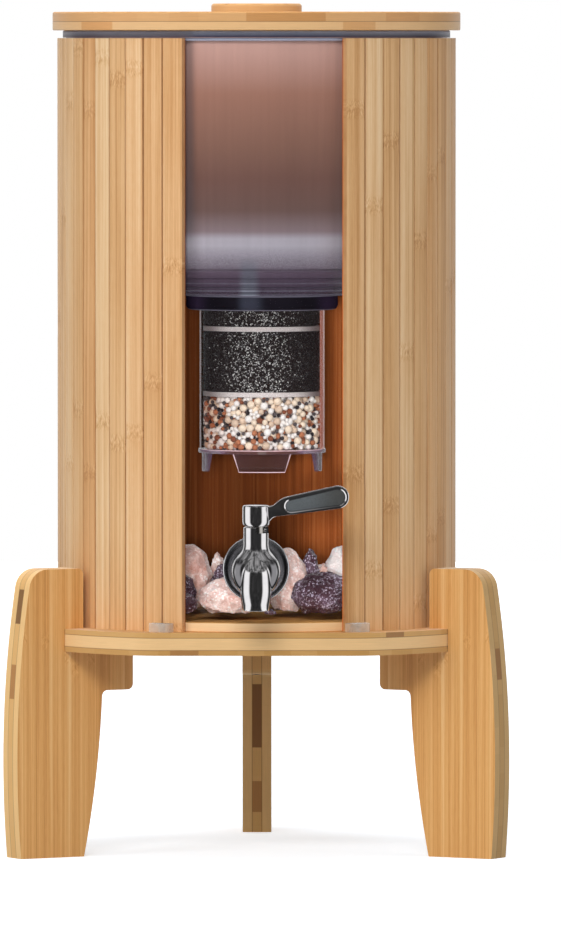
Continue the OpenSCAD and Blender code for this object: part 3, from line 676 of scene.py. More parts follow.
frostedLook = {
    "foot": 0.40,  # the haze's stops are shares of rise above foot
    "rise": 0.20,
    "haze": [(0.03, 70, 57, 73), (0.075, 86, 72, 88), (0.12, 102, 86, 102),
             (0.16, 126, 116, 128), (0.20, 170, 162, 173), (0.215, 188, 181, 191),
             (0.24, 186, 178, 188), (0.265, 146, 127, 131), (0.34, 118, 91, 85),
             (0.455, 124, 89, 80), (0.56, 142, 103, 89), (0.76, 174, 125, 107),
             (0.955, 224, 178, 166), (0.965, 40, 42, 70), (0.99, 196, 204, 226)],
    # where a painted reflection strip down the left side ends
    "leftSide": (-0.0475, -0.0425),
    "fade": ((0.11, 0.155), (0.195, 0.225)),  # the grainy start of the frosting
    # shine: the sides of a painted highlight stripe
    "shine": ((-0.014, -0.008), (-0.003, 0.004)),
    "rings": ((0.4074, 0.9), (0.4104, 1.0), (0.4125, 0.4), (0.4157, 0.5)),  # height and strength of painted highlight lines on the rings
}


def frostedPlastic():
    look = frostedLook
    finish = Finish("frostedPlastic", {"Specular IOR Level": 0.45, "Coat Weight": 0.15,
                                       "Coat Roughness": 0.12})
    x, y, z = finish.spot()
    height = (z - look["foot"]) / look["rise"]
    colour = height.ramp(*look["haze"])
    grain = finish.noise(finish.vector(x * 260, y * 260, z * 9), detail=3)
    colour = finish.shade(colour, 0.90 + grain * 0.2)
    # painted reflection: a grey strip down the left side
    left = x.fall(*look["leftSide"])
    colour = colour.tint(left * height.step(0.2, 0.3) * 0.38, tone(104, 98, 104))
    grit = finish.grain(2600, 2, 0.7)
    fade = height.stretch(*look["fade"])
    colour = colour.tint(fade * grit.step(0.50, 0.53) * 0.4, tone(204, 198, 208))
    # painted highlight: a blue-grey stripe in the lower part
    shine = x.stretch(*look["shine"]) * height.fall(0.12, 0.19)
    colour = colour.tint(shine * 0.5, tone(112, 120, 132))
    # painted highlight lines along the rings, stronger within the painted stripe
    for place, gain in look["rings"]:
        ring = z.line(place, 0.0002, 0.0007)
        colour = colour.tint(ring * gain * (0.08 + grain * 0.34 + shine * 0.45), tone(170, 172, 186))
    finish.vary("Base Color", colour)
    frost = height.step(0.09, 0.17)
    finish.vary("Roughness", 0.16 + frost * 0.34)
    finish.vary("Alpha", 0.86 + frost * 0.10)
    finish.bump(grit, 0.0001, 0.3)
    dress(finish, "upper_tank")


capLook = {
    "ends": (0.036, 0.052),  # reach from the cartridge's axis where the violet shows
    # shine: the sides of a painted highlight band
    "shine": ((-0.016, -0.008), (-0.003, 0.008)),
    "edges": (0.39425, 0.4044),  # heights of the painted highlight lines along the edges
}


def violetPlastic():
    look = capLook
    finish = Finish("violetPlastic", {"Specular IOR Level": 0.0, "Coat Weight": 0.0})
    cloud = finish.grain(60, 2)
    x, _, z = finish.spot()
    colour = finish.mix(cloud, tone(16, 14, 20), tone(32, 29, 37))
    colour = colour.tint(abs(x - cartridgeX).step(*look["ends"]) * 0.6, tone(70, 54, 84))
    # painted highlight: a lighter band left of the middle, standing in for gloss
    colour = colour.tint(x.stretch(*look["shine"]) * 0.4, tone(80, 84, 100))
    for edge in look["edges"]:
        colour = colour.tint(z.line(edge, 0.0002, 0.0007) * 0.7, tone(150, 146, 164))
    finish.vary("Base Color", colour)
    finish.vary("Roughness", 0.24 + cloud * 0.08)
    dress(finish, "cartridge_cap", "cartridge_nut")


def rubberFinish():
    finish = Finish("blackRubber", {"Specular IOR Level": 0.3})
    cloud = finish.grain(500, 3)
    finish.vary("Base Color", finish.mix(cloud, tone(22, 22, 24), tone(40, 40, 42)))
    finish.vary("Roughness", 0.55 + cloud * 0.25)
    finish.bump(cloud, 0.0001)
    dress(finish, "tap_plug_seals", "tap_outer_washer", "tap_inner_washer")


def siliconeFinish():
    finish = Finish("silicone", {"Specular IOR Level": 0.4, "Subsurface Weight": 0.2,
                                 "Subsurface Scale": 0.003})
    cloud = finish.grain(260, 3)
    finish.vary("Base Color", finish.mix(cloud, tone(212, 212, 216), tone(234, 234, 236)))
    finish.vary("Roughness", 0.4 + cloud * 0.2)
    dress(finish, "cartridge_gasket", "cartridge_nut_washer")


def feltFinish():
    finish = Finish("felt", {"Roughness": 0.95, "Specular IOR Level": 0.1, "Sheen Weight": 0.3})
    x, y, z = finish.spot()
    fluff = finish.noise(finish.vector(x * 900, y * 900, z * 2200), detail=4, rough=0.7)
    colour = fluff.ramp((0.25, 176, 164, 164), (0.55, 222, 212, 210),
                        (0.8, 244, 240, 238))
    # painted shade: the discs darken towards their sides
    ends = abs(x - cartridgeX).step(0.024, 0.042)
    finish.vary("Base Color", colour.tint(ends * 0.9, tone(122, 98, 96)))
    finish.bump(fluff, 0.0006)
    dress(finish, "upper_felt_disc", "lower_felt_disc")


steelTones = {  # tone, roughness and how much that varies
    "polishedSteel": (tone(214, 212, 212), 0.04, 0.06),
    "castSteel": (tone(214, 212, 212), 0.04, 0.06),
    "rosetteSteel": (tone(212, 212, 214), 0.16, 0.08),
    "screwSteel": (tone(186, 186, 190), 0.28, 0.14),
    "plugBrass": (tone(168, 164, 158), 0.14, 0.10),
}
# painted shade: darker reflections on the flanks where bulb and spout meet, out from the tap's axis and up
# from the floor
castPaintedShade = {"side": ((0.0086, 0.0108), (0.0143, 0.0160)), "height": ((0.1965, 0.2010), (0.2195, 0.2240))}


def steelFinish(name):
    colour, rough, spread = steelTones[name]
    finish = Finish(name, {"Metallic": 1.0})
    x, y, z = finish.spot()
    smear = finish.noise(finish.vector(x * 60, y * 60, z * 220), detail=3)
    colour = finish.mix(smear, colour, tone(238, 238, 242), "MULTIPLY")
    if name == "castSteel":
        # painted shade: darker reflections on the bulb's flanks
        paintedShade = abs(x).stretch(*castPaintedShade["side"]) * z.stretch(*castPaintedShade["height"])
        colour = colour.tint(paintedShade * 0.85, tone(112, 112, 116), "MULTIPLY")
    finish.vary("Base Color", colour)
    finish.vary("Roughness", rough + smear * spread)
    return finish


def gripFinish():
    finish = Finish("gripPlastic", {"Specular IOR Level": 0.3})
    grit = finish.grain(1500, 2)
    colour = finish.mix(grit, tone(74, 78, 80), tone(106, 110, 112))
    tip = finish.spot()[0].step(0.034, 0.060)
    finish.vary("Base Color", colour.tint(tip * 0.8, tone(196, 186, 176), "MULTIPLY"))
    finish.vary("Roughness", 0.5 + grit * 0.2)
    finish.bump(grit, 0.0001)
    return finish


def metals():
    polished = steelFinish("polishedSteel")
    dress(polished, "tap_stop_pin", "tap_nut")
    dress(steelFinish("screwSteel"), "leg_screws", "mat_stop_screws", "lid_knob_screw")
    dress(steelFinish("plugBrass"), "tap_plug")
    tapRosette(steelFinish("rosetteSteel"))
    tapBody(steelFinish("castSteel"))
    tapLever(polished, gripFinish())
    print("metals and plastics finished")


tapRecipe = {
    "axis": (0, -0.1876),  # the tap's upright axis
    "shankHeight": 0.2113,
    # radius and height of the body's outline, from the stem's top down through the bulb
    "bulb": [(0.0089, 0.2434), (0.0089, 0.2350), (0.0089, 0.2300), (0.0096, 0.2273), (0.0108, 0.2254),
             (0.0127, 0.2231), (0.0151, 0.2201), (0.0165, 0.2170), (0.0173, 0.2135), (0.0173, 0.2098),
             (0.0165, 0.2058), (0.0149, 0.2021), (0.0124, 0.1986), (0.0090, 0.1962), (0.0045, 0.1950),
             (0.0, 0.1948)],
    # height, radius and forward shift of the nozzle's rings, from its mouth up to where it leaves the bulb
    "nozzle": [(0.1838, 0.0090, 0.0022), (0.1842, 0.0095, 0.0022), (0.1870, 0.0099, 0.0028),
               (0.1905, 0.0105, 0.0038), (0.1940, 0.0109, 0.0047), (0.1980, 0.0111, 0.0054),
               (0.2030, 0.0109, 0.0061), (0.2072, 0.0106, 0.0067), (0.2105, 0.0102, 0.0071),
               (0.2135, 0.0096, 0.0070),
               (0.2165, 0.0087, 0.0063), (0.2200, 0.0076, 0.0050), (0.2240, 0.0066, 0.0034),
               (0.2275, 0.0058, 0.0022), (0.2300, 0.0040, 0.0010), (0.2302, 0.0, 0.0010)],
    "flat": 0.42,  # how far the bulb's front stands out beyond the stem's
    "voxel": 0.00045,
    "spoutBore": (0.0065, 0.1818, 0.2023),  # radius, lowest and highest point
    "spoutAhead": 0.0014,  # how far the bore stands ahead of the tap's axis
    "plugBore": (0.00605, 0.2053, 0.2450),
    "shankBore": 0.0045,
    "shankFrom": 0.1223,  # the shank's inner end, out from the tank's axis
    "shankRadius": 0.0090,
    "flareFrom": 0.1455,  # where the shank leaves the rosette
    "flare": [(0.0, 0.0), (0.0032, 0.0002), (0.0016, 0.0050)],  # added radius, and distance out from there
    "shankEnd": (0.0010, 0.0060),  # added radius, and distance in from the tap's axis
    "thread": (0.0015, 0.0005),  # pitch and depth
    "threadTo": 0.1385,
    "window": 0.2393,  # underside of the stop window in the stem
    "windowSize": (0.012, 0.0125, 0.006),
    "windowAhead": 0.0055,  # how far its middle stands ahead of the tap's axis
    "hub": [(0.0, 0.2440), (0.0076, 0.2440), (0.0085, 0.2444), (0.0092, 0.2454), (0.0096, 0.2472),
            (0.0096, 0.2576), (0.0093, 0.2586), (0.0087, 0.2590), (0.0, 0.2590)],
    # the lever's outline, out from the tap's axis and up from the floor, clockwise from the hub's top
    "leverTop": [(0.0060, 0.2582), (0.0108, 0.2586), (0.0134, 0.2600), (0.0160, 0.2621), (0.0194, 0.2643),
                 (0.0240, 0.2657)],
    "leverTip": (0.0582, 0.2649, 0.0082),  # centre and radius
    "leverLow": [(0.0260, 0.2524), (0.0190, 0.2517), (0.0142, 0.2510), (0.0115, 0.2497), (0.0100, 0.2480),
                 (0.0060, 0.2466)],
    "leverThick": 0.0050,
    "leverRound": 0.0009,
    "recessRoot": (0.0252, 0.2586, 0.0051),  # centre and radius of the recess's two ends
    "recessTip": (0.0580, 0.2648, 0.0067),
    "recessDepth": 0.0008,
    "padFrom": 0.0004,  # depth of the insert's face, its thickness and its edge's rounding
    "padThick": 0.0005,
    "padRound": 0.0002,
    "recessSlope": 0.00115,  # how far the recess's wall leans in over its depth
}


def between(points, parts):  # a smooth curve through points, ends kept
    rows = [points[0], *points, points[-1]]
    curve = []
    for a, b, c, d in zip(rows, rows[1:], rows[2:], rows[3:]):
        for part in range(parts):
            t = part / parts
            curve.append(tuple(0.5 * (2 * q + (r - p) * t + (2 * p - 5 * q + 4 * r - s) * t * t
                                      + (3 * q - p - 3 * r + s) * t ** 3) for p, q, r, s in zip(a, b, c, d)))
    return curve + [tuple(points[-1])]


def chain(name, points):  # a line of edges drawn point by point
    line = spawn(name, bpy.ops.mesh.primitive_plane_add, size=0.001, location=points[0])
    pickAll()
    bpy.ops.mesh.select_mode(type="VERT")
    bpy.ops.mesh.merge(type="CENTER")
    for start, end in zip(points, points[1:]):
        bpy.ops.mesh.extrude_region_move(TRANSFORM_OT_translate={"value": Vector(end) - Vector(start)})
    editMode(False)
    return line


def lathe(name, points, centre, axis, steps=64):
    piece = chain(name, points)
    pickAll()
    bpy.ops.mesh.spin(steps=steps, angle=2 * math.pi, center=centre, axis=axis)
    mend()
    return piece


def mend():  # one closed skin with its faces outwards, from edit mode
    pickAll()
    bpy.ops.mesh.remove_doubles(threshold=2e-6)
    bpy.ops.mesh.normals_make_consistent(inside=False)
    editMode(False)


def combine(piece, other, how):
    modify(piece, "BOOLEAN", {"object": other, "operation": how, "solver": "EXACT"})
    bpy.data.objects.remove(other)


def bore(piece, radius, start, end, steps=48):  # cuts a round hole
    start, end = Vector(start), Vector(end)
    bar = spawn("bore", bpy.ops.mesh.primitive_cylinder_add, vertices=steps, radius=radius,
                depth=(end - start).length, location=(start + end) / 2,
                rotation=(end - start).to_track_quat("Z", "Y").to_euler())
    combine(piece, bar, "DIFFERENCE")


def upright(recipe, points):  # radius and height to points beside the tap's axis
    return [(recipe["axis"][0] + radius, recipe["axis"][1], height) for radius, height in points]


def tapNozzle(recipe):
    rings = between(recipe["nozzle"], 3)
    outline = [(0.0, rings[0][0])] + [(max(radius, 0.0), height) for height, radius, _ in rings]
    nozzle = lathe("nozzle", upright(recipe, outline), (*recipe["axis"], 0), (0, 0, 1))
    for height, _, shift in rings:
        rework(nozzle, "VERT", lambda point: abs(point.z - height) < 2e-5,
               bpy.ops.transform.translate, value=(0, -shift, 0))
    return nozzle


def tapShank(recipe):
    x, y = recipe["axis"]
    pitch, depth = recipe["thread"]
    radius = recipe["shankRadius"]
    points = [(0.0, recipe["shankFrom"]), (radius - depth, recipe["shankFrom"])]
    turns = int((recipe["threadTo"] - recipe["shankFrom"]) / pitch)
    for turn in range(turns):
        out = recipe["shankFrom"] + (turn + 0.5) * pitch
        points += [(radius, out), (radius - depth, out + pitch / 2)]
    points.append((radius, recipe["threadTo"]))
    points += [(radius + wider, recipe["flareFrom"] + out) for wider, out in recipe["flare"]]
    wider, short = recipe["shankEnd"]
    points += [(radius + wider, -y - short), (0.0, -y - short)]
    line = [(x + reach, -out, recipe["shankHeight"]) for reach, out in points]
    return lathe("shank", line, (x, 0, recipe["shankHeight"]), (0, 1, 0))


def flatten(body, recipe):  # the bulb's front, most in the middle and not at the sides
    x, y = recipe["axis"]
    stem = recipe["bulb"][0][0]
    for vertex in body.data.vertices:
        ahead = y - vertex.co.y
        away = math.hypot(ahead, vertex.co.x - x)
        if away > stem and ahead > 0:
            kept = stem + (away - stem) * recipe["flat"]
            vertex.co.y = y - ahead * (1 + (kept / away - 1) * ahead / away)


def tapBody(finish):
    recipe = tapRecipe
    x, y = recipe["axis"]
    stem, top = recipe["bulb"][0]
    top += 0.0003
    outline = [(0.0, top), (stem - 0.0004, top)] + between(recipe["bulb"], 3)
    body = lathe("tap_body_cast", upright(recipe, outline), (x, y, 0), (0, 0, 1))
    flatten(body, recipe)
    combine(body, tapNozzle(recipe), "UNION")
    modify(body, "REMESH", {"mode": "VOXEL", "voxel_size": recipe["voxel"]})
    modify(body, "SMOOTH", {"factor": 0.5, "iterations": 8})
    combine(body, tapShank(recipe), "UNION")
    radius, low, high = recipe["spoutBore"]
    ahead = y - recipe["spoutAhead"]
    bore(body, radius, (x, ahead, low), (x, ahead, high))
    radius, low, high = recipe["plugBore"]
    bore(body, radius, (x, y, low), (x, y, high))
    height = recipe["shankHeight"]
    bore(body, recipe["shankBore"], (x, -recipe["shankFrom"] + 0.001, height), (x, y + 0.003, height))
    size = recipe["windowSize"]
    middle = (x + size[0] / 2, y - recipe["windowAhead"], recipe["window"] + size[2] / 2)
    window = spawn("window", bpy.ops.mesh.primitive_cube_add, size=1, location=middle, scale=size)
    combine(body, window, "DIFFERENCE")
    smoothAt(body, 40)
    handOver(body, finish, "stand", ["tap_body"])


rosetteRecipe = {
    # radius and distance out from the tank's axis
    "outline": [(0.0094, 0.1424), (0.0222, 0.1424), (0.0234, 0.1427), (0.0239, 0.1434), (0.0239, 0.1443),
                (0.0236, 0.1450), (0.0230, 0.1454), (0.0223, 0.1453), (0.0217, 0.1448), (0.0211, 0.1441),
                (0.0202, 0.1437), (0.0165, 0.1436), (0.0140, 0.1440), (0.0124, 0.1450), (0.0112, 0.1454),
                (0.0094, 0.1454)],
    "height": 0.2113,
}


def tapRosette(finish):
    recipe = rosetteRecipe
    height = recipe["height"]
    line = [(radius, -out, height) for radius, out in recipe["outline"] + recipe["outline"][:1]]
    dish = lathe("tap_rosette_dish", line, (0, 0, height), (0, 1, 0), 96)
    smoothAt(dish, 50)
    handOver(dish, finish, "stand", ["tap_rosette"])


def leverPlane(recipe, points, out):  # points of the lever's outline, at a depth in Y
    return [(recipe["axis"][0] + reach, recipe["axis"][1] + out, height) for reach, height in points]


def slabOf(name, line, thick):  # a closed outline filled and drawn out along Y
    slab = chain(name, line)
    pickAll()
    bpy.ops.mesh.edge_face_add()
    pickAll()
    bpy.ops.mesh.extrude_region_move(TRANSFORM_OT_translate={"value": (0, thick, 0)})
    mend()
    return slab


def taperOf(name, first, second):  # a solid between two outlines of the same count
    taper = chain(name, first + first[:1])
    far = chain(name, second + second[:1])
    pickOnly(taper)
    far.select_set(True)
    bpy.ops.object.join()
    pickAll()
    bpy.ops.mesh.remove_doubles(threshold=2e-6)
    bpy.ops.mesh.bridge_edge_loops()
    pickAll()
    bpy.ops.mesh.fill_holes(sides=0)
    mend()
    return taper


def ovalOutline(root, tip, shrink, steps=14):  # two round ends of different size, joined
    points = []
    lean = math.atan2(tip[1] - root[1], tip[0] - root[0])
    for centre, first in ((tip, -90), (root, 90)):
        for step in range(steps + 1):
            angle = lean + math.radians(first + 180 * step / steps)
            radius = centre[2] - shrink
            points.append((centre[0] + radius * math.cos(angle), centre[1] + radius * math.sin(angle)))
    return points


def roundEdges(obj, width, segments):
    modify(obj, "BEVEL", {"width": width, "segments": segments, "limit_method": "ANGLE",
                          "angle_limit": math.radians(60)})


def tapLever(steel, grip):
    recipe = tapRecipe
    x, y = recipe["axis"]
    tipX, tipZ, radius = recipe["leverTip"]
    turns = [math.radians(angle) for angle in range(98, -84, -9)]
    tip = [(tipX + radius * math.cos(turn), tipZ + radius * math.sin(turn)) for turn in turns]
    outline = between(recipe["leverTop"], 2) + tip + between(recipe["leverLow"], 2)
    thick = recipe["leverThick"]
    face = -thick / 2
    lever = slabOf("tap_lever_cast", leverPlane(recipe, outline, face), thick)
    roundEdges(lever, recipe["leverRound"], 3)
    combine(lever, lathe("hub", upright(recipe, recipe["hub"]), (x, y, 0), (0, 0, 1)), "UNION")
    depth = recipe["recessDepth"]
    slope = recipe["recessSlope"]
    above = 0.001
    ends = recipe["recessRoot"], recipe["recessTip"]
    wide = leverPlane(recipe, ovalOutline(*ends, -slope * above / depth), face - above)
    tight = leverPlane(recipe, ovalOutline(*ends, slope), face + depth)
    combine(lever, taperOf("recess", wide, tight), "DIFFERENCE")
    smoothAt(lever, 26)
    handOver(lever, steel, "tap_lever", ["tap_lever"])
    pad = leverPlane(recipe, ovalOutline(*ends, slope + 0.0001), face + recipe["padFrom"])
    insert = slabOf("tap_lever_pad", pad, recipe["padThick"])
    roundEdges(insert, recipe["padRound"], 2)
    smoothAt(insert, 35)
    handOver(insert, grip, "tap_lever", ["tap_lever_insert"])


def ball(level):  # a round start for balls and grains
    return spawn("ball", bpy.ops.mesh.primitive_ico_sphere_add, subdivisions=level, radius=1)


def strew(name, start, spots, smooth):  # one mesh of many copies, each with its own colour share
    base = np.array([v.co for v in start.data.vertices])
    faces = np.array([p.vertices for p in start.data.polygons])
    bpy.data.objects.remove(start)
    rng = np.random.default_rng(11)
    points = []
    for x, y, z, size, squeeze, _ in spots:  # place, size, unevenness and colour share
        turn = np.array(Euler(rng.uniform(0, 6.28, 3)).to_matrix())
        stretch = 1 + squeeze * rng.uniform(-1, 1, 3)
        rough = 1 + squeeze * 0.5 * rng.uniform(-1, 1, (len(base), 1))
        points.append((base * rough * stretch) @ turn.T * size + (x, y, z))
    count = len(spots)
    mesh = bpy.data.meshes.new(name)
    allFaces = (faces[None] + np.arange(count)[:, None, None] * len(base)).reshape(-1, faces.shape[1])
    mesh.from_pydata(np.concatenate(points).tolist(), [], allFaces.tolist())
    shares = np.repeat([s[5] for s in spots], len(base)).astype(np.float32)
    layer = mesh.attributes.new("lot", "FLOAT", "POINT")
    layer.data.foreach_set("value", shares)
    mesh.polygons.foreach_set("use_smooth", [smooth] * len(mesh.polygons))
    return link(bpy.data.objects.new(name, mesh))


ballRecipe = {
    "kinds": {  # radius, how many and in which colour lots, weighted
        "large": (0.00302, 230, [(0.1, 6), (0.3, 2), (0.5, 1.5), (0.6, 0.3)]),
        "medium": (0.00220, 440, [(0.1, 1.5), (0.3, 3.6), (0.5, 1), (0.6, 1.3), (0.75, 0.8)]),
        "small": (0.00150, 960, [(0.3, 3.2), (0.6, 1.2), (0.75, 1.0), (0.85, 1.8), (0.95, 1.4)]),
    },
    "limits": {"large": (0.0026, 1), "medium": (0.0018, 0.0026), "small": (0, 0.0018)},
    "depth": 0.0100,  # how deep the modelled layer reaches in from the wall
    "rounds": 90,
    "neighbours": 70,
}


def settleBalls(spots, radii, bed, recipe):  # pushes balls apart until they fill the layer at the wall
    centre, reach, low, high = bed
    for _ in range(recipe["rounds"]):
        order = np.argsort(np.arctan2(spots[:, 1] - centre.y, spots[:, 0] - centre.x))
        spots, radii = spots[order], radii[order]
        push = np.zeros_like(spots)
        for shift in range(1, recipe["neighbours"]):
            away = spots - np.roll(spots, shift, 0)
            far = np.linalg.norm(away, axis=1)
            lap = np.clip(radii + np.roll(radii, shift) - far, 0, None)
            move = away * (lap / np.maximum(far, 1e-6) * 0.42)[:, None]
            push += move
            push -= np.roll(move, -shift, 0)
        spots = spots + push
        across = spots[:, :2] - (centre.x, centre.y)
        away = np.linalg.norm(across, axis=1)
        kept = np.clip(away, reach - recipe["depth"], reach - radii)
        spots[:, :2] = (centre.x, centre.y) + across * (kept / away)[:, None]
        spots[:, 2] = np.clip(spots[:, 2], low + radii, high - radii)
    return spots, radii


def packBalls(low, high, recipe):
    rng = np.random.default_rng(7)
    centre = (low + high) / 2
    reach = (high.x - low.x) / 2 - 0.0001
    radii = np.concatenate([np.full(count, size) for size, count, _ in recipe["kinds"].values()])
    radii = radii * rng.uniform(0.93, 1.05, len(radii))
    angle = rng.uniform(0, 2 * math.pi, len(radii))
    away = reach - radii - rng.uniform(0, 1, len(radii)) * (recipe["depth"] - radii)
    spots = np.stack([centre.x + away * np.sin(angle), centre.y - away * np.cos(angle),
                      rng.uniform(low.z + radii, high.z - radii)], 1)
    return settleBalls(spots, radii, (centre, reach, low.z, high.z), recipe)


ballLots = [(0.0, 236, 216, 194), (0.26, 240, 234, 230), (0.46, 214, 188, 166),
            (0.56, 176, 112, 80), (0.70, 132, 76, 54), (0.80, 84, 78, 80),
            (0.90, 40, 38, 42)]


def ballGlaze():
    finish = Finish("ballGlaze", {"Specular IOR Level": 0.5, "Coat Weight": 0.25, "Coat Roughness": 0.15})
    colour = finish.attribute("lot").ramp(*ballLots, how="CONSTANT")
    dust = finish.grain(900, 3)
    # painted shade: balls on the left are darker and browner
    left = finish.spot()[0].fall(-0.042, -0.012)
    colour = colour.tint(left * 0.75, tone(208, 168, 150), "MULTIPLY")
    finish.vary("Base Color", finish.shade(colour, 0.84 + dust * 0.36))
    finish.vary("Roughness", 0.35 + dust * 0.3)
    finish.bump(dust, 0.0001)
    return finish


def ceramicBalls():
    recipe = ballRecipe
    low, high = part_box("ceramic_ball_bed")
    spots, radii = packBalls(low, high, recipe)
    rng = random.Random(5)
    finish = ballGlaze()
    for kind, (_, _, lots) in recipe["kinds"].items():
        shares, weights = zip(*lots)
        least, most = recipe["limits"][kind]
        chosen = [(*spot, radius, 0.02, rng.choices(shares, weights)[0])
                  for spot, radius in zip(spots, radii) if least < radius <= most]
        balls = strew("ceramic_balls_" + kind, ball(2 if kind == "small" else 3), chosen, True)
        replaced = ["ceramic_ball_bed"] if kind == "large" else None
        handOver(balls, finish, "upper_tank", replaced)


carbonRecipe = {
    "grain": 0.00092,
    "spread": 0.35,
    "crowd": 0.62,
    "sink": 0.0009,
    "uneven": 0.22,
    "core": 0.0018,  # how far the core stays back from the wall
    "coreRound": 0.0006,
}


def carbonLook():
    finish = Finish("carbonGrain", {"Specular IOR Level": 0.25})
    lot = finish.attribute("lot")
    here = finish.place()
    grit = finish.noise(here, 2200, 2)
    # painted glints: bright and dim specks, more of them in the middle where the light falls
    middle = abs(finish.parts(here)[0] - 0.002).fall(0.008, 0.038)
    share = finish.glint(here, 1250) + middle * 0.20
    bright = (share + lot * 0.14).step(1.09, 1.14)
    dim = (share + lot * 0.2).step(0.97, 1.07)
    colour = finish.mix(grit, tone(8, 7, 8), tone(26, 25, 27))
    colour = colour.tint(dim * 0.5, tone(96, 98, 102))
    finish.vary("Base Color", colour.tint(bright, tone(206, 206, 204)))
    finish.vary("Roughness", 0.34 - bright * 0.16 + grit * 0.2)
    return finish


def carbonSpots(low, high, rng, recipe):
    centre = (low + high) / 2
    reach = (high.x - low.x) / 2
    area = 2 * math.pi * reach * (high.z - low.z)
    spots = []
    for _ in range(int(area / recipe["grain"] ** 2 * recipe["crowd"])):
        size = recipe["grain"] * rng.uniform(1 - recipe["spread"], 1 + recipe["spread"])
        angle = rng.uniform(0, 2 * math.pi)
        away = reach - size * 1.25 - rng.uniform(0, 1) * recipe["sink"]
        height = rng.uniform(low.z + size * 1.2, high.z - size * 1.2)
        spots.append((centre.x + away * math.sin(angle), centre.y - away * math.cos(angle), height, size,
                      recipe["uneven"], rng.uniform(0, 1)))
    return spots


def carbonBeds():
    recipe = carbonRecipe
    finish = carbonLook()
    for name in ("upper_carbon_bed", "lower_carbon_bed"):
        low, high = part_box(name)
        spots = carbonSpots(low, high, np.random.default_rng(len(name)), recipe)
        grains = strew(name.replace("_bed", "_grains"), ball(1), spots, False)
        core = spawn("core", bpy.ops.mesh.primitive_cylinder_add, vertices=64, depth=high.z - low.z,
                     radius=(high.x - low.x) / 2 - recipe["core"], location=(low + high) / 2)
        rework(core, "EDGE", lambda a, b: abs(a.z - b.z) < 1e-6,
               bpy.ops.mesh.bevel, offset=recipe["coreRound"], segments=2, affect="EDGES")
        pickOnly(grains)
        core.select_set(True)
        bpy.ops.object.join()
        handOver(grains, finish, "upper_tank", [name])


stoneRecipe = {
    "rose_quartz": {"voxel": 0.0010, "dent": 0.0030, "dentSize": 0.012, "chip": 0.0014, "chipSize": 0.0075},
    "white_quartz": {"voxel": 0.0010, "dent": 0.0020, "dentSize": 0.010, "chip": 0.0012, "chipSize": 0.006},
    "amethyst": {"voxel": 0.0009, "dent": 0.0026, "dentSize": 0.010, "chip": 0.0020, "chipSize": 0.0040},
}
crustLook = {"noise_scale": 0.0022, "noise_depth": 2, "noise_type": "HARD_NOISE"}
quartzTones = {
    "rose_quartz": ("roseQuartz", (194, 142, 128), (220, 184, 175), (242, 218, 212)),
    "white_quartz": ("whiteQuartz", (206, 192, 190), (232, 222, 220), (246, 242, 242)),
}


def roughen(stone, kind, look, strength, level):  # a texture pushes the skin in and out
    texture = bpy.data.textures.new(stone.name + kind.title(), kind)
    for name, value in look.items():
        setattr(texture, name, value)
    modify(stone, "DISPLACE", {"texture": texture, "strength": strength, "mid_level": level})


def stoneShape(name, recipe):
    stone = nodes[name].copy()
    stone.data = nodes[name].data.copy()
    stone.parent = None
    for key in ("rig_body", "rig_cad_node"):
        if key in stone:
            del stone[key]
    stone.name = name + "_stones"
    link(stone)
    pickOnly(stone)
    pickAll()
    bpy.ops.mesh.remove_doubles(threshold=1e-6)
    editMode(False)
    modify(stone, "REMESH", {"mode": "VOXEL", "voxel_size": recipe["voxel"]})
    modify(stone, "SMOOTH", {"factor": 0.5, "iterations": 2})
    roughen(stone, "CLOUDS", {"noise_scale": recipe["dentSize"], "noise_depth": 2}, recipe["dent"], 0.65)
    chips = {"noise_scale": recipe["chipSize"], "distance_metric": "DISTANCE"}
    roughen(stone, "VORONOI", chips, recipe["chip"], 0.75)
    roughen(stone, "CLOUDS", crustLook, 0.0009, 0.7)
    smoothAt(stone, 24)
    return stone


def quartzLook(name, deep, middle, pale):
    finish = Finish(name, {"Specular IOR Level": 0.55, "Subsurface Weight": 0.35, "Subsurface Scale": 0.012,
                           "Subsurface Radius": (1.0, 0.6, 0.55)})
    here = finish.place()
    cloud = finish.noise(here, 55, 4, 0.6)
    frost = finish.noise(here, 900, 3, 0.7)
    crack = finish.cells(here, 70, "Distance", "DISTANCE_TO_EDGE").fall(0.0, 0.06)
    share = cloud + (frost - 0.5) * 0.5 + crack * 0.12
    colour = share.ramp((0.3, *deep), (0.5, *middle), (0.68, *pale))
    crust = (finish.glint(here, 800) + cloud).step(1.34, 1.44)
    finish.vary("Base Color", colour.tint(crust * 0.8, tone(255, 246, 244)))
    finish.vary("Roughness", 0.20 + frost * 0.4)
    finish.vary("Coat Weight", cloud.step(0.4, 0.6) * 0.4)
    finish.bump(frost + crack * 0.4, 0.0005, 0.6)
    return finish


def amethystLook():
    finish = Finish("amethyst", {"Specular IOR Level": 0.7, "Coat Roughness": 0.08})
    here = finish.place()
    cloud = finish.noise(here, 60, 4, 0.6)
    sparkle = finish.glint(here, 1150)
    dust = finish.noise(here, 1300, 3, 0.7)
    share = cloud * 0.8 + (dust - 0.5) * 0.5 + 0.1
    colour = share.ramp((0.3, 38, 20, 28), (0.5, 70, 44, 54), (0.62, 104, 80, 96),
                        (0.78, 160, 144, 166))
    # painted glints: pale sparkles on the crystal
    bright = (sparkle + (cloud - 0.5) * 0.9).step(0.80, 0.90)
    finish.vary("Base Color", colour.tint(bright * 0.7, tone(206, 196, 216)))
    finish.vary("Roughness", 0.12 + dust * 0.4)
    finish.vary("Coat Weight", bright)
    finish.bump(sparkle * 0.7 + dust * 0.5, 0.0009, 0.8)
    return finish


def stones():
    for name, recipe in stoneRecipe.items():
        finish = quartzLook(*quartzTones[name]) if name in quartzTones else amethystLook()
        handOver(stoneShape(name, recipe), finish, "stand", [name])


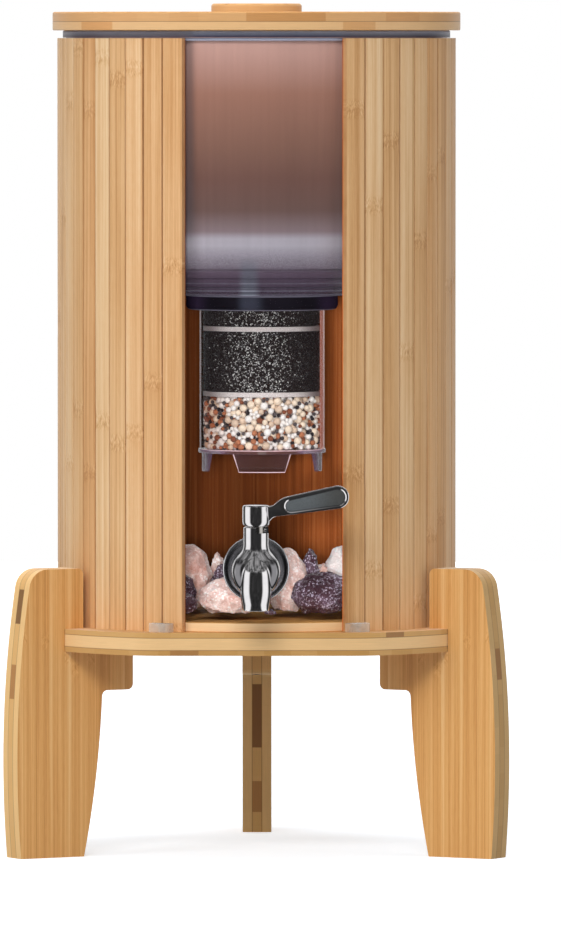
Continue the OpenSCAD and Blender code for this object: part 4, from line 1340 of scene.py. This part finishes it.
cameraRecipe = {"distance": 7.78, "lens": 410.8, "height": 0.5977, "side": 0.0175, "pitch": 2.348}
lampRecipe = {
    "keyLamp": {"place": (-3.0, -2.4, 1.6), "aim": (0, 0, 0.3), "size": (1.5, 2.4), "power": 46},
    "frontLamp": {"place": (-0.6, -4.6, 3.0), "aim": (0, 0, 0.3), "size": (2.4, 1.6), "power": 137},
    "fillLamp": {"place": (3.0, -1.6, 1.0), "aim": (0, 0, 0.3), "size": (0.6, 2.0), "power": 10},
    "topLamp": {"place": (0, 0.4, 4.6), "aim": (0, 0.2, 0), "size": (3.2, 3.2), "power": 96},
    "windowLamp": {"place": (-0.15, -5.2, 0.4), "aim": (0, 0, 0.3), "size": (0.6, 0.6), "power": 260},
}
insideNames = ("mat_backing", "cartridge", "upper_felt", "lower_felt", "upper_carbon", "lower_carbon",
               "ceramic", "rose_quartz", "amethyst", "white_quartz", "tap_nut", "tap_inner")


def makeCamera():
    recipe = cameraRecipe
    clearPick()
    bpy.ops.object.camera_add(location=(recipe["side"], -recipe["distance"], recipe["height"]),
                              rotation=(math.radians(90 - recipe["pitch"]), 0, 0))
    camera = bpy.context.object
    camera.data.lens = recipe["lens"]
    camera.data.clip_end = 200
    bpy.context.scene.camera = camera


def makeLamps():
    for name, recipe in lampRecipe.items():
        place = Vector(recipe["place"])
        clearPick()
        bpy.ops.object.light_add(type="AREA", location=place)
        lamp = bpy.context.object
        lamp.name = name
        lamp.rotation_euler = (Vector(recipe["aim"]) - place).to_track_quat("-Z", "Y").to_euler()
        lamp.data.shape = "RECTANGLE"
        lamp.data.size, lamp.data.size_y = recipe["size"]
        lamp.data.energy = recipe["power"]
        lamp.visible_glossy = False


# sides are angles from the front in radians, heights run from -1 to 1
studioLook = {
    "level": 0.27,
    "ahead": ((0.35, 0.8), 0.255),  # the room is darker there
    "above": ((0.4, 0.9), 0.25),  # and brighter there
    "panelSides": ((0.78, 1.06), (1.66, 2.02)),
    "panelHeights": ((-0.98, -0.90), (0.26, 0.44)),
    "panelPower": 1.3,
    "rear": ((2.2, 2.6), 0.9),
}


def makeWorld():
    look = studioLook
    world = bpy.data.worlds.new("studio")
    bpy.context.scene.world = world
    world.use_nodes = True
    tree = world.node_tree
    graph = Graph(tree)
    room = tree.nodes["Background"]
    x, y, z = graph.parts(graph.node("TexCoord", {}, {}, "Generated"))
    ahead, above, rear = look["ahead"], look["above"], look["rear"]
    level = look["level"] - (-y).step(*ahead[0]) * ahead[1] + z.step(*above[0]) * above[1]
    side = abs(graph.sums("ARCTAN2", x, -y))
    panels = side.stretch(*look["panelSides"]) * z.stretch(*look["panelHeights"])
    blots = graph.noise(graph.vector(x, y, z), 3.6, 3)
    ceiling = z.step(0.22, 0.55) * (0.06 + blots.step(0.36, 0.62) * 0.36)
    mirrored = panels * look["panelPower"] + side.step(*rear[0]) * rear[1] + ceiling + blots * 0.08
    glossy = graph.node("LightPath", {}, {}, "Is Glossy Ray")
    graph.feed(room.inputs["Color"], (1, 1, 1, 1))
    graph.feed(room.inputs["Strength"], level * (1 - glossy) + mirrored * glossy)
    backdrop = graph.node("Background", {}, {"Color": (1, 1, 1, 1), "Strength": 1.0})
    seen = graph.node("LightPath", {}, {}, "Is Camera Ray")
    both = graph.node("MixShader", {}, {0: seen, 1: Flow(graph, room.outputs[0]), 2: backdrop})
    graph.feed(tree.nodes["World Output"].inputs["Surface"], both)
    bpy.context.scene.view_settings.view_transform = "Standard"


def makeFloor():
    floor = spawn("studioFloor", bpy.ops.mesh.primitive_circle_add, vertices=96, radius=4.2,
                  fill_type="NGON")
    finish = Finish("floorPaper", {"Roughness": 0.9, "Specular IOR Level": 0.1,
                                   "Emission Color": (1, 1, 1, 1)})
    x, y, _ = finish.spot()
    grain = finish.grain(40, 3)
    seen = finish.node("LightPath", {}, {}, "Is Camera Ray")
    paper = finish.mix(grain, tone(227, 237, 249), tone(235, 245, 254))
    finish.vary("Base Color", finish.mix(seen, tone(186, 192, 198), paper))
    finish.vary("Emission Strength", seen * (0.49 + (x * x + y * y) * 0.03))
    floor.data.materials.append(finish.material)
    floor.visible_glossy = False


def lightInside():  # one lamp lights only what stands behind the window
    inside = bpy.data.collections.new("insideTheTank")
    for obj in bpy.context.scene.objects:
        if obj.type == "MESH" and obj.name.startswith(insideNames):
            inside.objects.link(obj)
        if obj.name.startswith(("mat_backing", "base_plate", "leg_")):
            obj.visible_glossy = False  # the tap mirrors the studio only
    bpy.data.objects["windowLamp"].light_linking.receiver_collection = inside


makeCamera()
makeWorld()
makeLamps()
makeFloor()
print("stage set")
bambooBoards()
slatMat()
backingWeave()
tankPlastic()
stopPlastic()
housingPlastic()
footPlastic()
frostedPlastic()
violetPlastic()
rubberFinish()
siliconeFinish()
feltFinish()
metals()
ceramicBalls()
carbonBeds()
stones()
lightInside()

clearPick()
